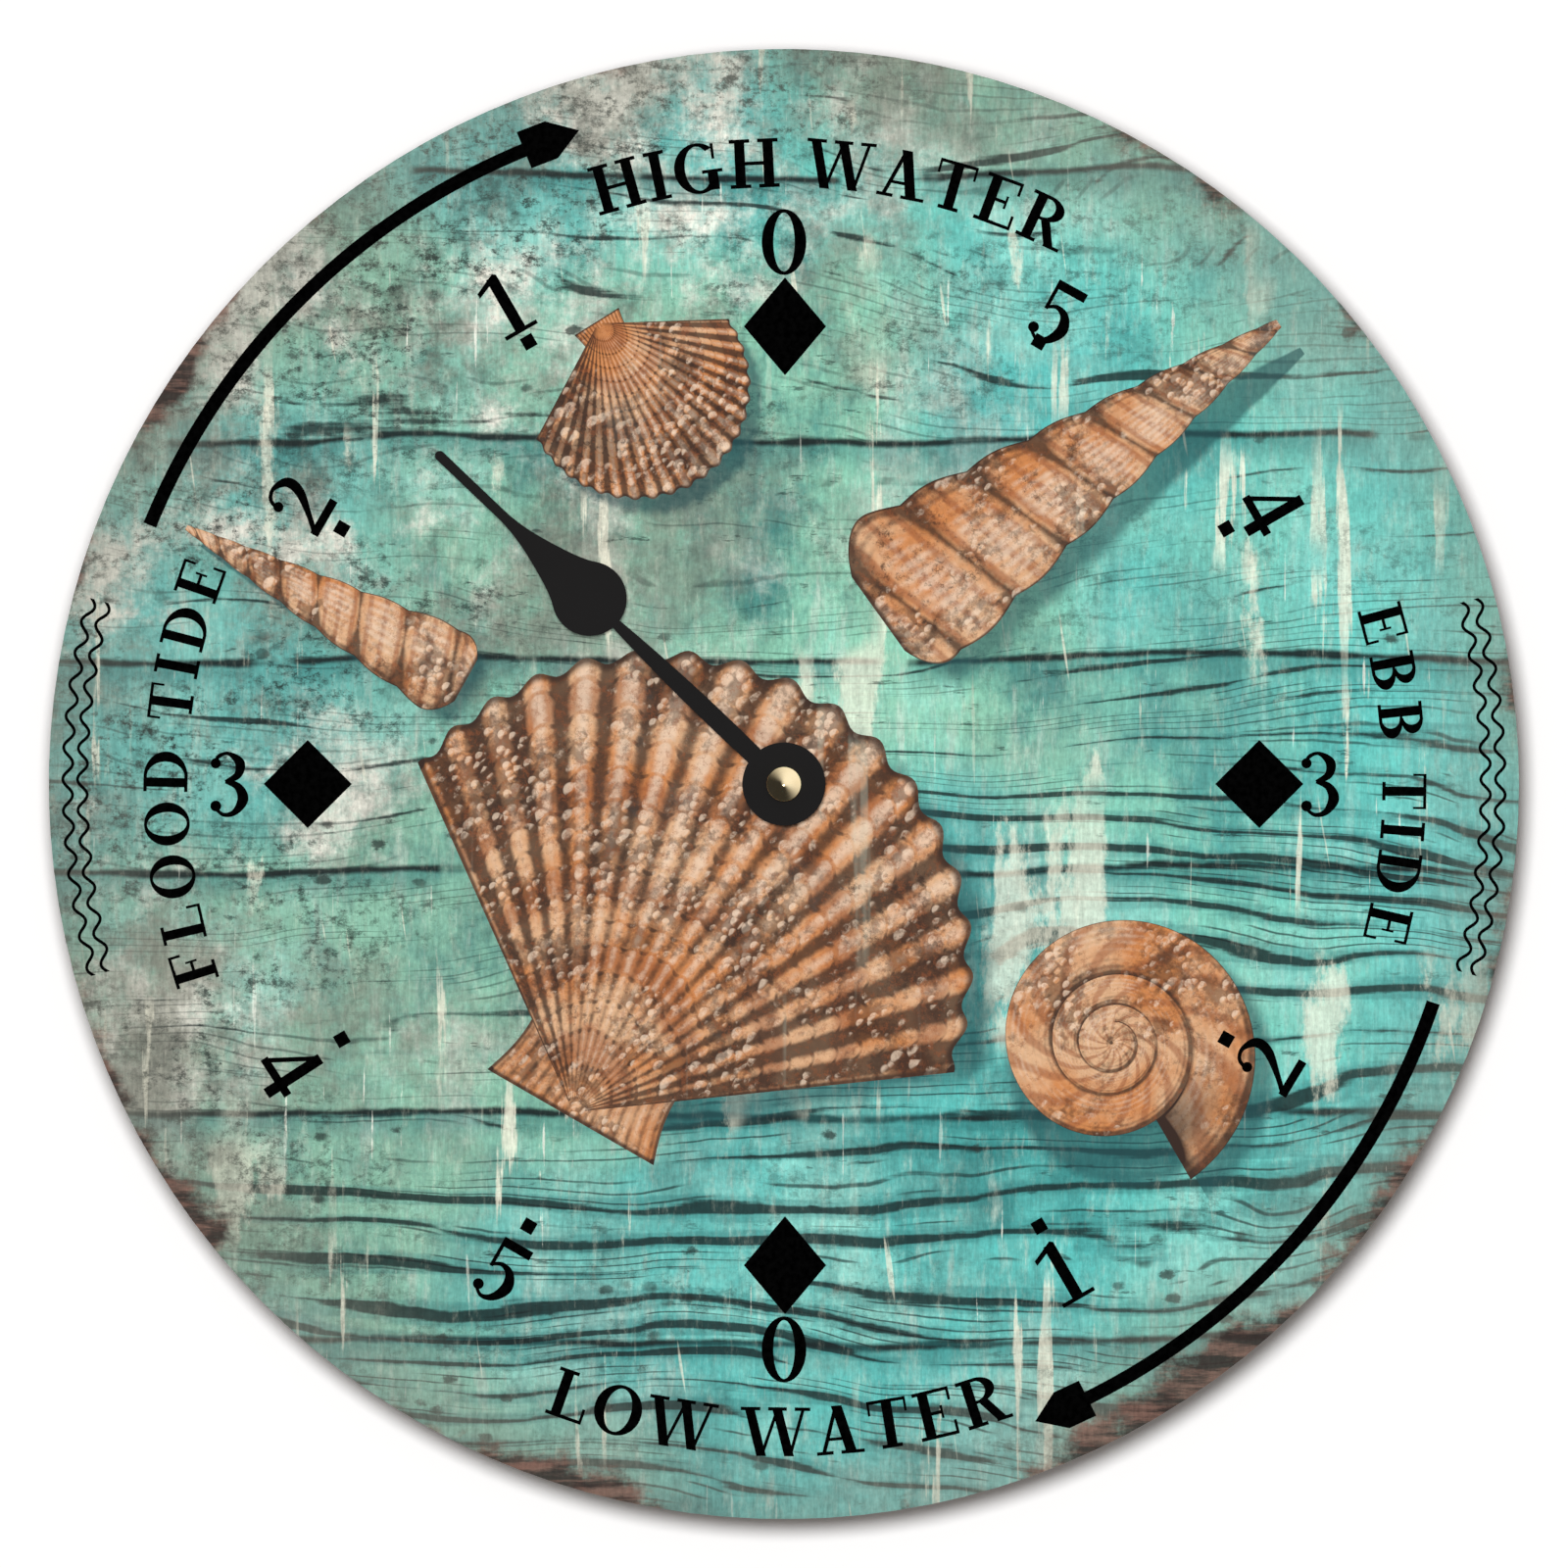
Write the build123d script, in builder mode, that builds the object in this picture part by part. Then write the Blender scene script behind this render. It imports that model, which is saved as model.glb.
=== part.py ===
from build123d import *
from math import atan2, cos, pi, radians, sin
import os

# Tide clock: a printed round board on a battery movement, with one hand that turns
# once in a tidal half day. The wall is the plane Y = 0, the face looks along -Y, +Z is
# up, and the origin is the centre of the nail hole. Lengths in mm, angles in degrees.

# Board and print
disc_diameter = 266.7
board_thickness = 6.0
board_back_bevel = 0.5
print_thickness = 0.15

# Battery cell
cell_diameter = 14.0
cell_length = 49.8
cell_nub_radius = 2.6
cell_nub_length = 1.0
cell_edge_radius = 0.6

# Movement case
case_wall = 1.4
case_corner = 3.0
case_front_bevel = 0.8
partition_wall = 1.0
contact_room = 1.7
cell_side_clearance = 0.5
cell_depth_clearance = 0.3
corbel_depth = 1.2
corbel_width = 5.0
corbel_height = 2.2

# Hanger loop
hanger_rise = 7.0
hanger_radius = 10.0
hanger_thickness = 2.2
nail_hole_radius = 3.5
nail_notch_width = 3.0
nail_notch_reach = 7.0
hanger_foot_thickness = 1.2
hanger_foot_depth = 8.0
hanger_rib_width = 1.2
hanger_rib_spacing = 14.0
hanger_peg_radius = 1.0
hanger_peg_spacing = 10.0
hanger_peg_depth = 5.2

# Rear cover and setting knob
cover_thickness = 1.6
cover_clearance = 0.2
cover_tab_width = 5.0
cover_tab_reach = 1.0
cover_tab_thickness = 0.6
tab_clearance = 0.2
knob_radius = 5.0
knob_thickness = 2.3
knob_recess = 0.5
knob_grooves = 16
knob_groove_radius = 0.5
knob_pin_radius = 1.0
knob_pin_length = 1.6
knob_slot_width = 1.0
knob_slot_depth = 0.8
well_clearance = 0.5
well_wall = 0.7
well_gap = 0.3

# Shaft, bush and front fasteners
gasket_thickness = 1.0
gasket_radius = 11.0
bush_radius = 4.0
bush_flange_radius = 5.5
bush_flange_thickness = 0.75
bush_flange_gap = 0.3
bush_hole_clearance = 0.05
board_hole_clearance = 0.3
washer_thickness = 0.5
washer_radius = 6.9
nut_thickness = 2.0
nut_across_flats = 11.0
bush_past_nut = 0.5
arbor_radius = 2.5
arbor_running_clearance = 0.05
arbor_past_bush = 0.6
arbor_end_radius = 1.75
arbor_flat_distance = 2.8
arbor_end_length = 1.4
hand_fit_clearance = 0.05
cap_nut_radius = 3.175
cap_nut_skirt = 1.3
cap_nut_height = 3.3
cap_nut_edge_radius = 0.4

# Hand, measured from the shaft along the hand
hand_angle = 46.36
hand_length = 87.1
hand_thickness = 0.6
hand_boss_radius = 7.54
blade_root_half_width = 1.42
blade_widest_half_width = 1.71
blade_widest_at = 21.3
blade_neck_half_width = 0.92
spade_radius = 6.76
spade_centre_at = 48.7
spade_leave_angle = 33.0
spade_waist_half_width = 3.1
spade_waist_at = 58.7
tip_half_width = 0.9
tip_starts_at = 71.0

# Gear train: teeth and modules
tide_wheel_teeth = 46
reduction_pinion_teeth = 10
reduction_wheel_teeth = 27
drive_pinion_teeth = 10
centre_wheel_teeth = 64
third_wheel_teeth = 60
seconds_wheel_teeth = 56
intermediate_wheel_teeth = 60
intermediate_pinion_teeth = 14
small_pinion_teeth = 8
tide_module = 0.3
drive_module = 0.4
fine_module = 0.2

# Tooth forms: tip height and root depth in modules, then width at the pitch circle and
# width at the crest as shares of the tooth pitch
wheel_form_shares = (0.80, 1.20, 0.44, 0.20)
pinion_form_shares = (0.90, 1.10, 0.40, 0.14)
root_width_share = 1.12

# Gear train: direction from each arbor to the next one
tide_to_reduction = 160.0
reduction_to_centre = 80.0
reduction_to_knob = 190.0
centre_to_third = 10.0
third_to_seconds = -10.0
seconds_to_intermediate = 20.0
intermediate_to_rotor = 35.0

# Gear train: heights and arbors
bridge_rear = 4.0
bridge_thickness = 1.2
wheel_thickness = 0.8
wheel_spacing = 0.55
train_clearance = 0.8
train_levels = 6
train_wall_gap = 1.2
end_shake = 0.1
wheel_arbor_radius = 0.5
pivot_radius = 0.3
pivot_length = 0.8
pivot_clearance = 0.03
hub_radius = 1.0
clutch_arbor_radius = 0.6
clutch_collar_radius = 0.85
clutch_clearance = 0.03
setting_stem_radius = 1.4
tide_pivot_radius = 0.8
tide_neck_radius = 1.2
tide_seat_radius = 1.6
seat_clearance = 0.02
tide_hub_radius = 2.2

# Posts of the case
post_radius = 1.6
post_pin_radius = 0.8
post_pin_length = 1.8
pin_clearance = 0.05
bridge_edge = 2.0
bridge_corner = 2.0
bridge_wall_gap = 0.4

# Motor
stator_thickness = 1.0
stator_post_height = 1.6
stator_lobe_radius = 5.2
rotor_gap = 0.4
rotor_radius = 3.0
rotor_length = 3.0
rotor_pivot_radius = 0.25
stator_bar_width = 5.0
stator_ear_width = 4.0
coil_length = 18.0
coil_radius = 2.6
coil_rim = 0.1
coil_flange_thickness = 0.6
coil_wall_gap = 1.3
coil_bar_gap = 0.9
core_thickness = 0.8
core_width = 2.4
bobbin_wall = 0.5
bobbin_clearance = 0.1
motor_pin_radius = 0.7

# Circuit board and contacts
circuit_thickness = 0.8
circuit_post_height = 1.8
circuit_post_radius = 1.4
circuit_pin_radius = 0.6
circuit_left_gap = 2.4
circuit_edge_gap = 0.8
circuit_post_inset = 2.5
chip_side = 4.0
chip_height = 0.9
crystal_radius = 0.95
crystal_length = 6.0
leaf_thickness = 0.4
leaf_margin = 2.4
strip_height = 2.2
tab_width = 2.0
tab_reach = 4.0
contact_gap = 0.15
contact_bump_radius = 2.0

# Depths in front of the wall
bridge_front = bridge_rear + bridge_thickness
train_floor = bridge_front + train_clearance
level_step = wheel_thickness + wheel_spacing
wheels_top = train_floor + train_levels * level_step - wheel_spacing
train_top = wheels_top + bush_flange_thickness + bush_flange_gap
cell_top = cell_diameter + 2 * cell_depth_clearance
case_inside = max(train_top, cell_top)
case_front = case_inside + case_wall
board_back = case_front + gasket_thickness
board_front = board_back + board_thickness
print_front = board_front + print_thickness
washer_front = print_front + washer_thickness
nut_front = washer_front + nut_thickness
bush_front = nut_front + bush_past_nut
hand_back = bush_front + arbor_past_bush
hand_front = hand_back + hand_thickness
stator_front = case_inside - stator_post_height
stator_rear = stator_front - stator_thickness
core_rear = stator_rear - core_thickness
circuit_front = case_inside - circuit_post_height
circuit_rear = circuit_front - circuit_thickness


def beside(place, first_teeth, second_teeth, module, direction):
    # place of the arbor whose gear meshes with the gear on a given arbor
    distance = module * (first_teeth + second_teeth) / 2
    angle = radians(direction)
    return (place[0] + distance * cos(angle), place[1] + distance * sin(angle))


# Places of the arbors, seen from the front with the shaft at the centre
tide_place = (0, 0)
reduction_place = beside(
    tide_place, tide_wheel_teeth, reduction_pinion_teeth, tide_module, tide_to_reduction
)
centre_place = beside(
    reduction_place, reduction_wheel_teeth, drive_pinion_teeth, drive_module, reduction_to_centre
)
knob_place = beside(
    reduction_place, reduction_wheel_teeth, drive_pinion_teeth, drive_module, reduction_to_knob
)
third_place = beside(
    centre_place, centre_wheel_teeth, small_pinion_teeth, fine_module, centre_to_third
)
seconds_place = beside(
    third_place, third_wheel_teeth, small_pinion_teeth, fine_module, third_to_seconds
)
intermediate_place = beside(
    seconds_place,
    seconds_wheel_teeth,
    intermediate_pinion_teeth,
    fine_module,
    seconds_to_intermediate,
)
rotor_place = beside(
    intermediate_place,
    intermediate_wheel_teeth,
    small_pinion_teeth,
    fine_module,
    intermediate_to_rotor,
)

# Widths and heights on the case, measured from the shaft
lobe_reach = rotor_place[0] + stator_lobe_radius
coil_y = rotor_place[1] + stator_bar_width / 2 + coil_bar_gap + coil_radius + coil_rim
coil_reach = coil_y + coil_radius + coil_rim
train_reach = max(lobe_reach, coil_reach) + train_wall_gap
inside_half = max(cell_length / 2 + contact_room, train_reach)
case_half = inside_half + case_wall
case_size = 2 * case_half
bay_height = cell_diameter + 2 * cell_side_clearance
partition_low = bay_height - inside_half
partition_high = partition_low + partition_wall
hanger_drop = case_half + hanger_rise
cell_place_y = bay_height / 2 - inside_half
cell_depth = case_inside - cell_depth_clearance - cell_diameter / 2
disc_radius = disc_diameter / 2

wall_plane = Plane(origin=(0, 0, -hanger_drop), x_dir=(1, 0, 0), z_dir=(0, -1, 0))


def depth(distance):
    # plane parallel to the wall, this far in front of it, centred on the shaft
    return wall_plane.offset(distance)


def gear_level(number):
    # rear face of the wheels on one of the six levels of the train
    return train_floor + number * level_step


def tip_radius(teeth, module, shares):
    return module * (teeth / 2 + shares[0])


def meshed_turn(place, teeth, other_place, other_teeth, turn=0.0):
    # turn in radians of a second gear whose gap faces the nearest tooth of the first
    direction = atan2(other_place[1] - place[1], other_place[0] - place[0])
    pitch = 2 * pi / teeth
    nearest = turn + round((direction - turn) / pitch) * pitch
    gap = direction + pi - (nearest - direction) * teeth / other_teeth
    return gap + pi / other_teeth


def gear_sketch(plane, place, teeth, module, shares, turn=0.0):
    # toothed disc with straight flanks
    tip_share, root_share, tooth_share, crest_share = shares
    pitch_radius = module * teeth / 2
    pitch = 2 * pi / teeth
    side = (
        (pitch_radius - root_share * module, root_width_share * tooth_share * pitch / 2),
        (pitch_radius, tooth_share * pitch / 2),
        (pitch_radius + tip_share * module, crest_share * pitch / 2),
    )
    tooth = [(r, -half) for r, half in side] + [(r, half) for r, half in reversed(side)]
    outline = []
    for number in range(teeth):
        middle = turn + number * pitch
        outline += [
            (place[0] + r * cos(middle + a), place[1] + r * sin(middle + a)) for r, a in tooth
        ]
    with BuildSketch(plane) as gear:
        with BuildLine():
            Polyline(*outline, close=True)
        make_face()
    return gear.sketch


def round_sketch(plane, place, radius):
    with BuildSketch(plane) as disc:
        with Locations(place):
            Circle(radius)
    return disc.sketch


def add_round(place, low, high, radius, mode=Mode.ADD):
    # cylinder square to the wall, in the part that is being built
    extrude(round_sketch(depth(low), place, radius), amount=high - low, mode=mode)


def add_box(x_range, y_range, low, high, mode=Mode.ADD):
    # block given by its sides, in the part that is being built
    with BuildSketch(depth(low)) as block:
        with Locations(((x_range[0] + x_range[1]) / 2, (y_range[0] + y_range[1]) / 2)):
            Rectangle(x_range[1] - x_range[0], y_range[1] - y_range[0])
    extrude(block.sketch, amount=high - low, mode=mode)


def add_wheel(place, number, teeth, module, shares, turn=0.0):
    # toothed wheel on one level of the train
    low = gear_level(number)
    extrude(gear_sketch(depth(low), place, teeth, module, shares, turn), amount=wheel_thickness)


def add_arbor(place, radius, pivot):
    # arbor between the bridge and the front wall, with a pivot at each end
    add_round(place, bridge_front + end_shake, case_inside - end_shake, radius)
    add_round(place, bridge_front - pivot_length, case_inside + pivot_length, pivot)


def save(piece, name):
    piece.part.label = name
    export_step(piece.part, f"parts/{name}.step")


os.makedirs("parts", exist_ok=True)

# Bridge outline and the posts that carry it
bridge_left = knob_place[0] - setting_stem_radius - post_radius - bridge_edge
bridge_right = inside_half - bridge_wall_gap
bridge_low = partition_high + corbel_depth + bridge_wall_gap
bridge_high = rotor_place[1] + stator_lobe_radius - post_radius
tide_tip = tip_radius(tide_wheel_teeth, tide_module, wheel_form_shares)
post_inset = max(bridge_edge, post_radius)
inner_post_x = tide_tip + post_radius
right_post_y = rotor_place[1] - stator_lobe_radius - post_radius
bridge_posts = (
    (bridge_left + post_inset, bridge_low + post_inset),
    (bridge_left + post_inset, bridge_high - post_inset),
    (inner_post_x, bridge_low + post_inset),
    (bridge_right - post_inset, right_post_y),
)

# Motor: the coil lies along the top wall, between the ears of the stator
right_ear_x = rotor_place[0] - stator_lobe_radius + stator_ear_width / 4
left_ear_x = right_ear_x - coil_length - 2 * coil_wall_gap - stator_ear_width
ear_places = ((left_ear_x, coil_y), (right_ear_x, coil_y))
ear_top = coil_y + stator_ear_width / 2
coil_x = (left_ear_x + right_ear_x) / 2
coil_depth = core_rear + core_thickness / 2

# Circuit board beside the tide wheel
circuit_left = inner_post_x + post_radius + circuit_left_gap
circuit_right = inside_half - circuit_edge_gap
circuit_low = partition_high + leaf_thickness + circuit_edge_gap
circuit_high = right_post_y - post_radius - circuit_edge_gap
circuit_posts = (
    (circuit_left + circuit_post_inset, circuit_low + circuit_post_inset),
    (circuit_right - circuit_post_inset, circuit_high - circuit_post_inset),
)

# Board: round, with a bevelled back edge and a hole for the bush
with BuildPart() as dial_board:
    add_round(tide_place, board_back, board_front, disc_radius)
    chamfer(dial_board.faces().sort_by(Axis.Y)[-1].edges(), board_back_bevel)
    add_round(
        tide_place, board_back, board_front, bush_radius + board_hole_clearance, Mode.SUBTRACT
    )
save(dial_board, "dial_board")

# Print: a thin film over the whole front of the board
with BuildPart() as printed_face:
    with BuildSketch(depth(board_front)):
        Circle(disc_radius)
        Circle(bush_radius + board_hole_clearance, mode=Mode.SUBTRACT)
    extrude(amount=print_thickness)
save(printed_face, "printed_face")

# Front case: a box open at the back
tab_high = cover_thickness - (cover_thickness - cover_tab_thickness) / 2
tab_low = tab_high - cover_tab_thickness
cover_middle = (partition_high + inside_half) / 2
pivot_places = (
    reduction_place,
    centre_place,
    knob_place,
    third_place,
    seconds_place,
    intermediate_place,
)
peg_plane = Plane(origin=(0, 0, case_half - hanger_drop), x_dir=(1, 0, 0), z_dir=(0, 0, 1))
peg_places = [(side * hanger_peg_spacing / 2, -hanger_peg_depth) for side in (-1, 1)]
with BuildPart() as front_case:
    with BuildSketch(depth(0)):
        RectangleRounded(case_size, case_size, case_corner)
    extrude(amount=case_front)
    chamfer(front_case.faces().sort_by(Axis.Y)[0].edges(), case_front_bevel)
    # movement chamber above, battery bay below
    add_box(
        (-inside_half, inside_half), (partition_high, inside_half), 0, case_inside, Mode.SUBTRACT
    )
    add_box(
        (-inside_half, inside_half), (-inside_half, partition_low), 0, case_inside, Mode.SUBTRACT
    )
    # corbels that the rear cover rests on
    for side in (-1, 1):
        wall_x = side * inside_half
        inner_x = side * (inside_half - corbel_depth)
        add_box(
            (min(wall_x, inner_x), max(wall_x, inner_x)),
            (cover_middle - corbel_width / 2, cover_middle + corbel_width / 2),
            cover_thickness,
            cover_thickness + corbel_height,
        )
    for wall_y in (partition_high, inside_half - corbel_depth):
        for side in (-1, 1):
            corbel_x = side * inside_half / 2
            add_box(
                (corbel_x - corbel_width / 2, corbel_x + corbel_width / 2),
                (wall_y, wall_y + corbel_depth),
                cover_thickness,
                cover_thickness + corbel_height,
            )
    # windows that hold the tabs of the cover
    add_box(
        (-case_half, case_half),
        (
            cover_middle - cover_tab_width / 2 - tab_clearance,
            cover_middle + cover_tab_width / 2 + tab_clearance,
        ),
        tab_low - tab_clearance,
        tab_high + tab_clearance,
        Mode.SUBTRACT,
    )
    # posts, each with a pin, for the bridge, the motor and the circuit board
    for place in bridge_posts:
        add_round(place, bridge_front, case_inside, post_radius)
        add_round(place, bridge_front - post_pin_length, bridge_front, post_pin_radius)
    for place in ear_places:
        add_round(place, stator_front, case_inside, post_radius)
        add_round(place, core_rear, stator_front, motor_pin_radius)
    for place in circuit_posts:
        add_round(place, circuit_front, case_inside, circuit_post_radius)
        add_round(place, circuit_rear, circuit_front, circuit_pin_radius)
    # notches in the partition for the contact strips
    for side in (-1, 1):
        notch_x = side * (inside_half - leaf_thickness - contact_gap)
        wall_x = side * inside_half
        add_box(
            (min(notch_x, wall_x), max(notch_x, wall_x)),
            (partition_low, partition_high),
            0,
            circuit_rear + contact_gap,
            Mode.SUBTRACT,
        )
    # holes in the top wall for the pegs of the hanger
    for place in peg_places:
        with BuildSketch(peg_plane):
            with Locations(place):
                Circle(hanger_peg_radius + pin_clearance)
        extrude(amount=-case_wall, mode=Mode.SUBTRACT)
    # hole for the bush and blind holes for the pivots
    bush_hole_radius = bush_radius + bush_hole_clearance
    add_round(tide_place, case_inside, case_front, bush_hole_radius, Mode.SUBTRACT)
    pivot_end = case_inside + pivot_length + end_shake
    for place in pivot_places:
        add_round(place, case_inside, pivot_end, pivot_radius + pivot_clearance, Mode.SUBTRACT)
    add_round(
        rotor_place, case_inside, pivot_end, rotor_pivot_radius + pivot_clearance, Mode.SUBTRACT
    )
save(front_case, "front_case")

# Hanger loop: a plate with a keyhole for the nail, on a foot pegged to the top of the case
foot_z = case_half - hanger_drop
foot_top_z = foot_z + hanger_foot_thickness
notch_centre = hanger_drop + nail_notch_reach - nail_notch_width / 2
with BuildPart() as hanger_loop:
    with BuildSketch(depth(0)):
        with Locations((0, hanger_drop)):
            Circle(hanger_radius)
        with Locations((0, (case_half + hanger_drop) / 2)):
            Rectangle(2 * hanger_radius, hanger_drop - case_half)
    extrude(amount=hanger_thickness)
    add_box(
        (-hanger_radius, hanger_radius),
        (hanger_drop - hanger_radius, case_half),
        0,
        hanger_foot_depth,
        Mode.SUBTRACT,
    )
    add_box(
        (-hanger_radius, hanger_radius),
        (case_half, case_half + hanger_foot_thickness),
        0,
        hanger_foot_depth,
    )
    for side in (-1, 1):
        with BuildSketch(Plane.YZ.offset(side * hanger_rib_spacing / 2)):
            with BuildLine():
                Polyline(
                    (0, foot_z),
                    (-hanger_foot_depth, foot_z),
                    (-hanger_foot_depth, foot_top_z),
                    (-hanger_thickness, 0),
                    (0, 0),
                    close=True,
                )
            make_face()
        extrude(amount=hanger_rib_width / 2, both=True)
    with BuildSketch(depth(0)):
        with Locations((0, hanger_drop)):
            Circle(nail_hole_radius)
        with Locations((0, (hanger_drop + notch_centre) / 2)):
            Rectangle(nail_notch_width, notch_centre - hanger_drop)
        with Locations((0, notch_centre)):
            Circle(nail_notch_width / 2)
    extrude(amount=hanger_thickness, mode=Mode.SUBTRACT)
    for place in peg_places:
        with BuildSketch(peg_plane):
            with Locations(place):
                Circle(hanger_peg_radius)
        extrude(amount=-case_wall)
save(hanger_loop, "hanger_loop")

# Rear cover: a plate in the mouth of the case, with a well for the setting knob
well_radius = knob_radius + well_clearance
well_floor = knob_recess + knob_thickness + well_gap
well_bottom = bridge_rear - well_gap
with BuildPart() as rear_cover:
    add_box(
        (cover_clearance - inside_half, inside_half - cover_clearance),
        (partition_high + cover_clearance, inside_half - cover_clearance),
        0,
        cover_thickness,
    )
    add_box(
        (
            cover_clearance - inside_half - cover_tab_reach,
            inside_half - cover_clearance + cover_tab_reach,
        ),
        (cover_middle - cover_tab_width / 2, cover_middle + cover_tab_width / 2),
        tab_low,
        tab_high,
    )
    add_round(knob_place, cover_thickness, well_bottom, well_radius + well_wall)
    add_round(knob_place, 0, well_floor, well_radius, Mode.SUBTRACT)
    add_round(knob_place, well_floor, well_bottom, setting_stem_radius + well_gap, Mode.SUBTRACT)
save(rear_cover, "rear_cover")

# Gasket between the case and the board
with BuildPart() as rubber_gasket:
    with BuildSketch(depth(case_front)):
        Circle(gasket_radius)
        Circle(bush_radius + bush_hole_clearance, mode=Mode.SUBTRACT)
    extrude(amount=gasket_thickness)
save(rubber_gasket, "rubber_gasket")

# Threaded bush: its flange is held inside the case, and the nut clamps the board
with BuildPart() as threaded_bush:
    add_round(tide_place, case_inside - bush_flange_thickness, case_inside, bush_flange_radius)
    add_round(tide_place, case_inside, bush_front, bush_radius)
    add_round(
        tide_place,
        case_inside - bush_flange_thickness,
        bush_front,
        arbor_radius + arbor_running_clearance,
        Mode.SUBTRACT,
    )
save(threaded_bush, "threaded_bush")

# Washer and nut on the front of the board
with BuildPart() as front_washer:
    with BuildSketch(depth(print_front)):
        Circle(washer_radius)
        Circle(bush_radius + bush_hole_clearance, mode=Mode.SUBTRACT)
    extrude(amount=washer_thickness)
save(front_washer, "front_washer")

with BuildPart() as hex_nut:
    with BuildSketch(depth(washer_front)):
        RegularPolygon(nut_across_flats / 2, 6, major_radius=False)
        Circle(bush_radius + bush_hole_clearance, mode=Mode.SUBTRACT)
    extrude(amount=nut_thickness)
save(hex_nut, "hex_nut")

# Tide arbor: rear pivot, wheel seat, long shaft in the bush and a flatted front end
tide_level = gear_level(5)
tide_wheel_front = tide_level + wheel_thickness
tide_hub_rear = tide_level - wheel_spacing / 2
hand_turn = radians(hand_angle)
hand_plane = Plane(
    origin=depth(hand_back).origin,
    x_dir=(cos(hand_turn), 0, sin(hand_turn)),
    z_dir=wall_plane.z_dir,
)
with BuildPart() as tide_arbor:
    add_round(
        tide_place, bridge_front - pivot_length, bridge_front + end_shake, tide_pivot_radius
    )
    add_round(tide_place, bridge_front + end_shake, tide_hub_rear, tide_neck_radius)
    add_round(tide_place, tide_hub_rear, tide_wheel_front, tide_seat_radius)
    add_round(tide_place, tide_wheel_front, hand_back, arbor_radius)
    with BuildSketch(hand_plane):
        Circle(arbor_end_radius)
        Rectangle(arbor_flat_distance, 2 * arbor_end_radius, mode=Mode.INTERSECT)
    extrude(amount=hand_thickness)
    add_round(tide_place, hand_front, hand_front + arbor_end_length, arbor_end_radius)
save(tide_arbor, "tide_arbor")

with BuildPart() as tide_wheel:
    add_wheel(tide_place, 5, tide_wheel_teeth, tide_module, wheel_form_shares)
    add_round(tide_place, tide_hub_rear, tide_level, tide_hub_radius)
    add_round(
        tide_place,
        tide_hub_rear,
        tide_wheel_front,
        tide_seat_radius + seat_clearance,
        Mode.SUBTRACT,
    )
save(tide_wheel, "tide_wheel")

# Hand: boss, leaf-shaped blade, round spade that tapers to a slim tip
leave_angle = radians(spade_leave_angle)
spade_leave = (
    spade_radius * cos(leave_angle),
    spade_centre_at + spade_radius * sin(leave_angle),
)
with BuildPart() as tide_hand:
    with BuildSketch(hand_plane):
        with BuildLine():
            blade = Spline(
                (blade_root_half_width, 0),
                (blade_widest_half_width, blade_widest_at),
                (blade_neck_half_width, spade_centre_at - spade_radius),
            )
            Line(blade @ 1, (blade_neck_half_width, spade_centre_at))
            Line((blade_neck_half_width, spade_centre_at), (0, spade_centre_at))
            Line((0, spade_centre_at), (0, 0))
            Line((0, 0), blade @ 0)
        make_face()
        with BuildLine():
            taper = Spline(
                spade_leave,
                (spade_waist_half_width, spade_waist_at),
                (tip_half_width, tip_starts_at),
                tangents=((-sin(leave_angle), cos(leave_angle)), (0, 1)),
            )
            Line(taper @ 1, (tip_half_width, hand_length - tip_half_width))
            Line((tip_half_width, hand_length - tip_half_width), (0, hand_length - tip_half_width))
            Line((0, hand_length - tip_half_width), (0, spade_centre_at))
            Line((0, spade_centre_at), taper @ 0)
        make_face()
        mirror(about=Plane.YZ)
        with Locations((0, spade_centre_at)):
            Circle(spade_radius)
        with Locations((0, hand_length - tip_half_width)):
            Circle(tip_half_width)
        Circle(hand_boss_radius)
        with BuildSketch(mode=Mode.SUBTRACT):
            Circle(arbor_end_radius + hand_fit_clearance)
            Rectangle(
                arbor_flat_distance + 2 * hand_fit_clearance,
                2 * (arbor_end_radius + hand_fit_clearance),
                mode=Mode.INTERSECT,
            )
    extrude(amount=hand_thickness)
save(tide_hand, "tide_hand")

# Cap nut: a short skirt under a shallow pointed cone
cap_nut_tip = hand_front + cap_nut_height
cap_nut_shoulder = hand_front + cap_nut_skirt
with BuildPart() as cap_nut:
    with BuildSketch(Plane(origin=(0, 0, -hanger_drop), x_dir=(1, 0, 0), z_dir=(0, 0, 1))):
        with BuildLine():
            Polyline(
                (0, -hand_front),
                (cap_nut_radius, -hand_front),
                (cap_nut_radius, -cap_nut_shoulder),
                (0, -cap_nut_tip),
                close=True,
            )
        make_face()
    revolve(axis=Axis((0, 0, -hanger_drop), (0, 1, 0)))
    shoulder = cap_nut.edges().filter_by(GeomType.CIRCLE).sort_by(Axis.Y)[0]
    fillet(shoulder, cap_nut_edge_radius)
    add_round(
        tide_place,
        hand_front,
        hand_front + arbor_end_length + hand_fit_clearance,
        arbor_end_radius + hand_fit_clearance,
        Mode.SUBTRACT,
    )
save(cap_nut, "cap_nut")

# Reduction wheel: takes the hourly turn of the drive pinion down to the tide wheel
reduction_turn = meshed_turn(
    tide_place, tide_wheel_teeth, reduction_place, reduction_pinion_teeth
)
with BuildPart() as reduction_wheel:
    add_wheel(reduction_place, 4, reduction_wheel_teeth, drive_module, wheel_form_shares)
    add_wheel(
        reduction_place,
        5,
        reduction_pinion_teeth,
        tide_module,
        pinion_form_shares,
        reduction_turn,
    )
    add_round(reduction_place, gear_level(4), gear_level(5), hub_radius)
    add_arbor(reduction_place, wheel_arbor_radius, pivot_radius)
save(reduction_wheel, "reduction_wheel")

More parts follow.
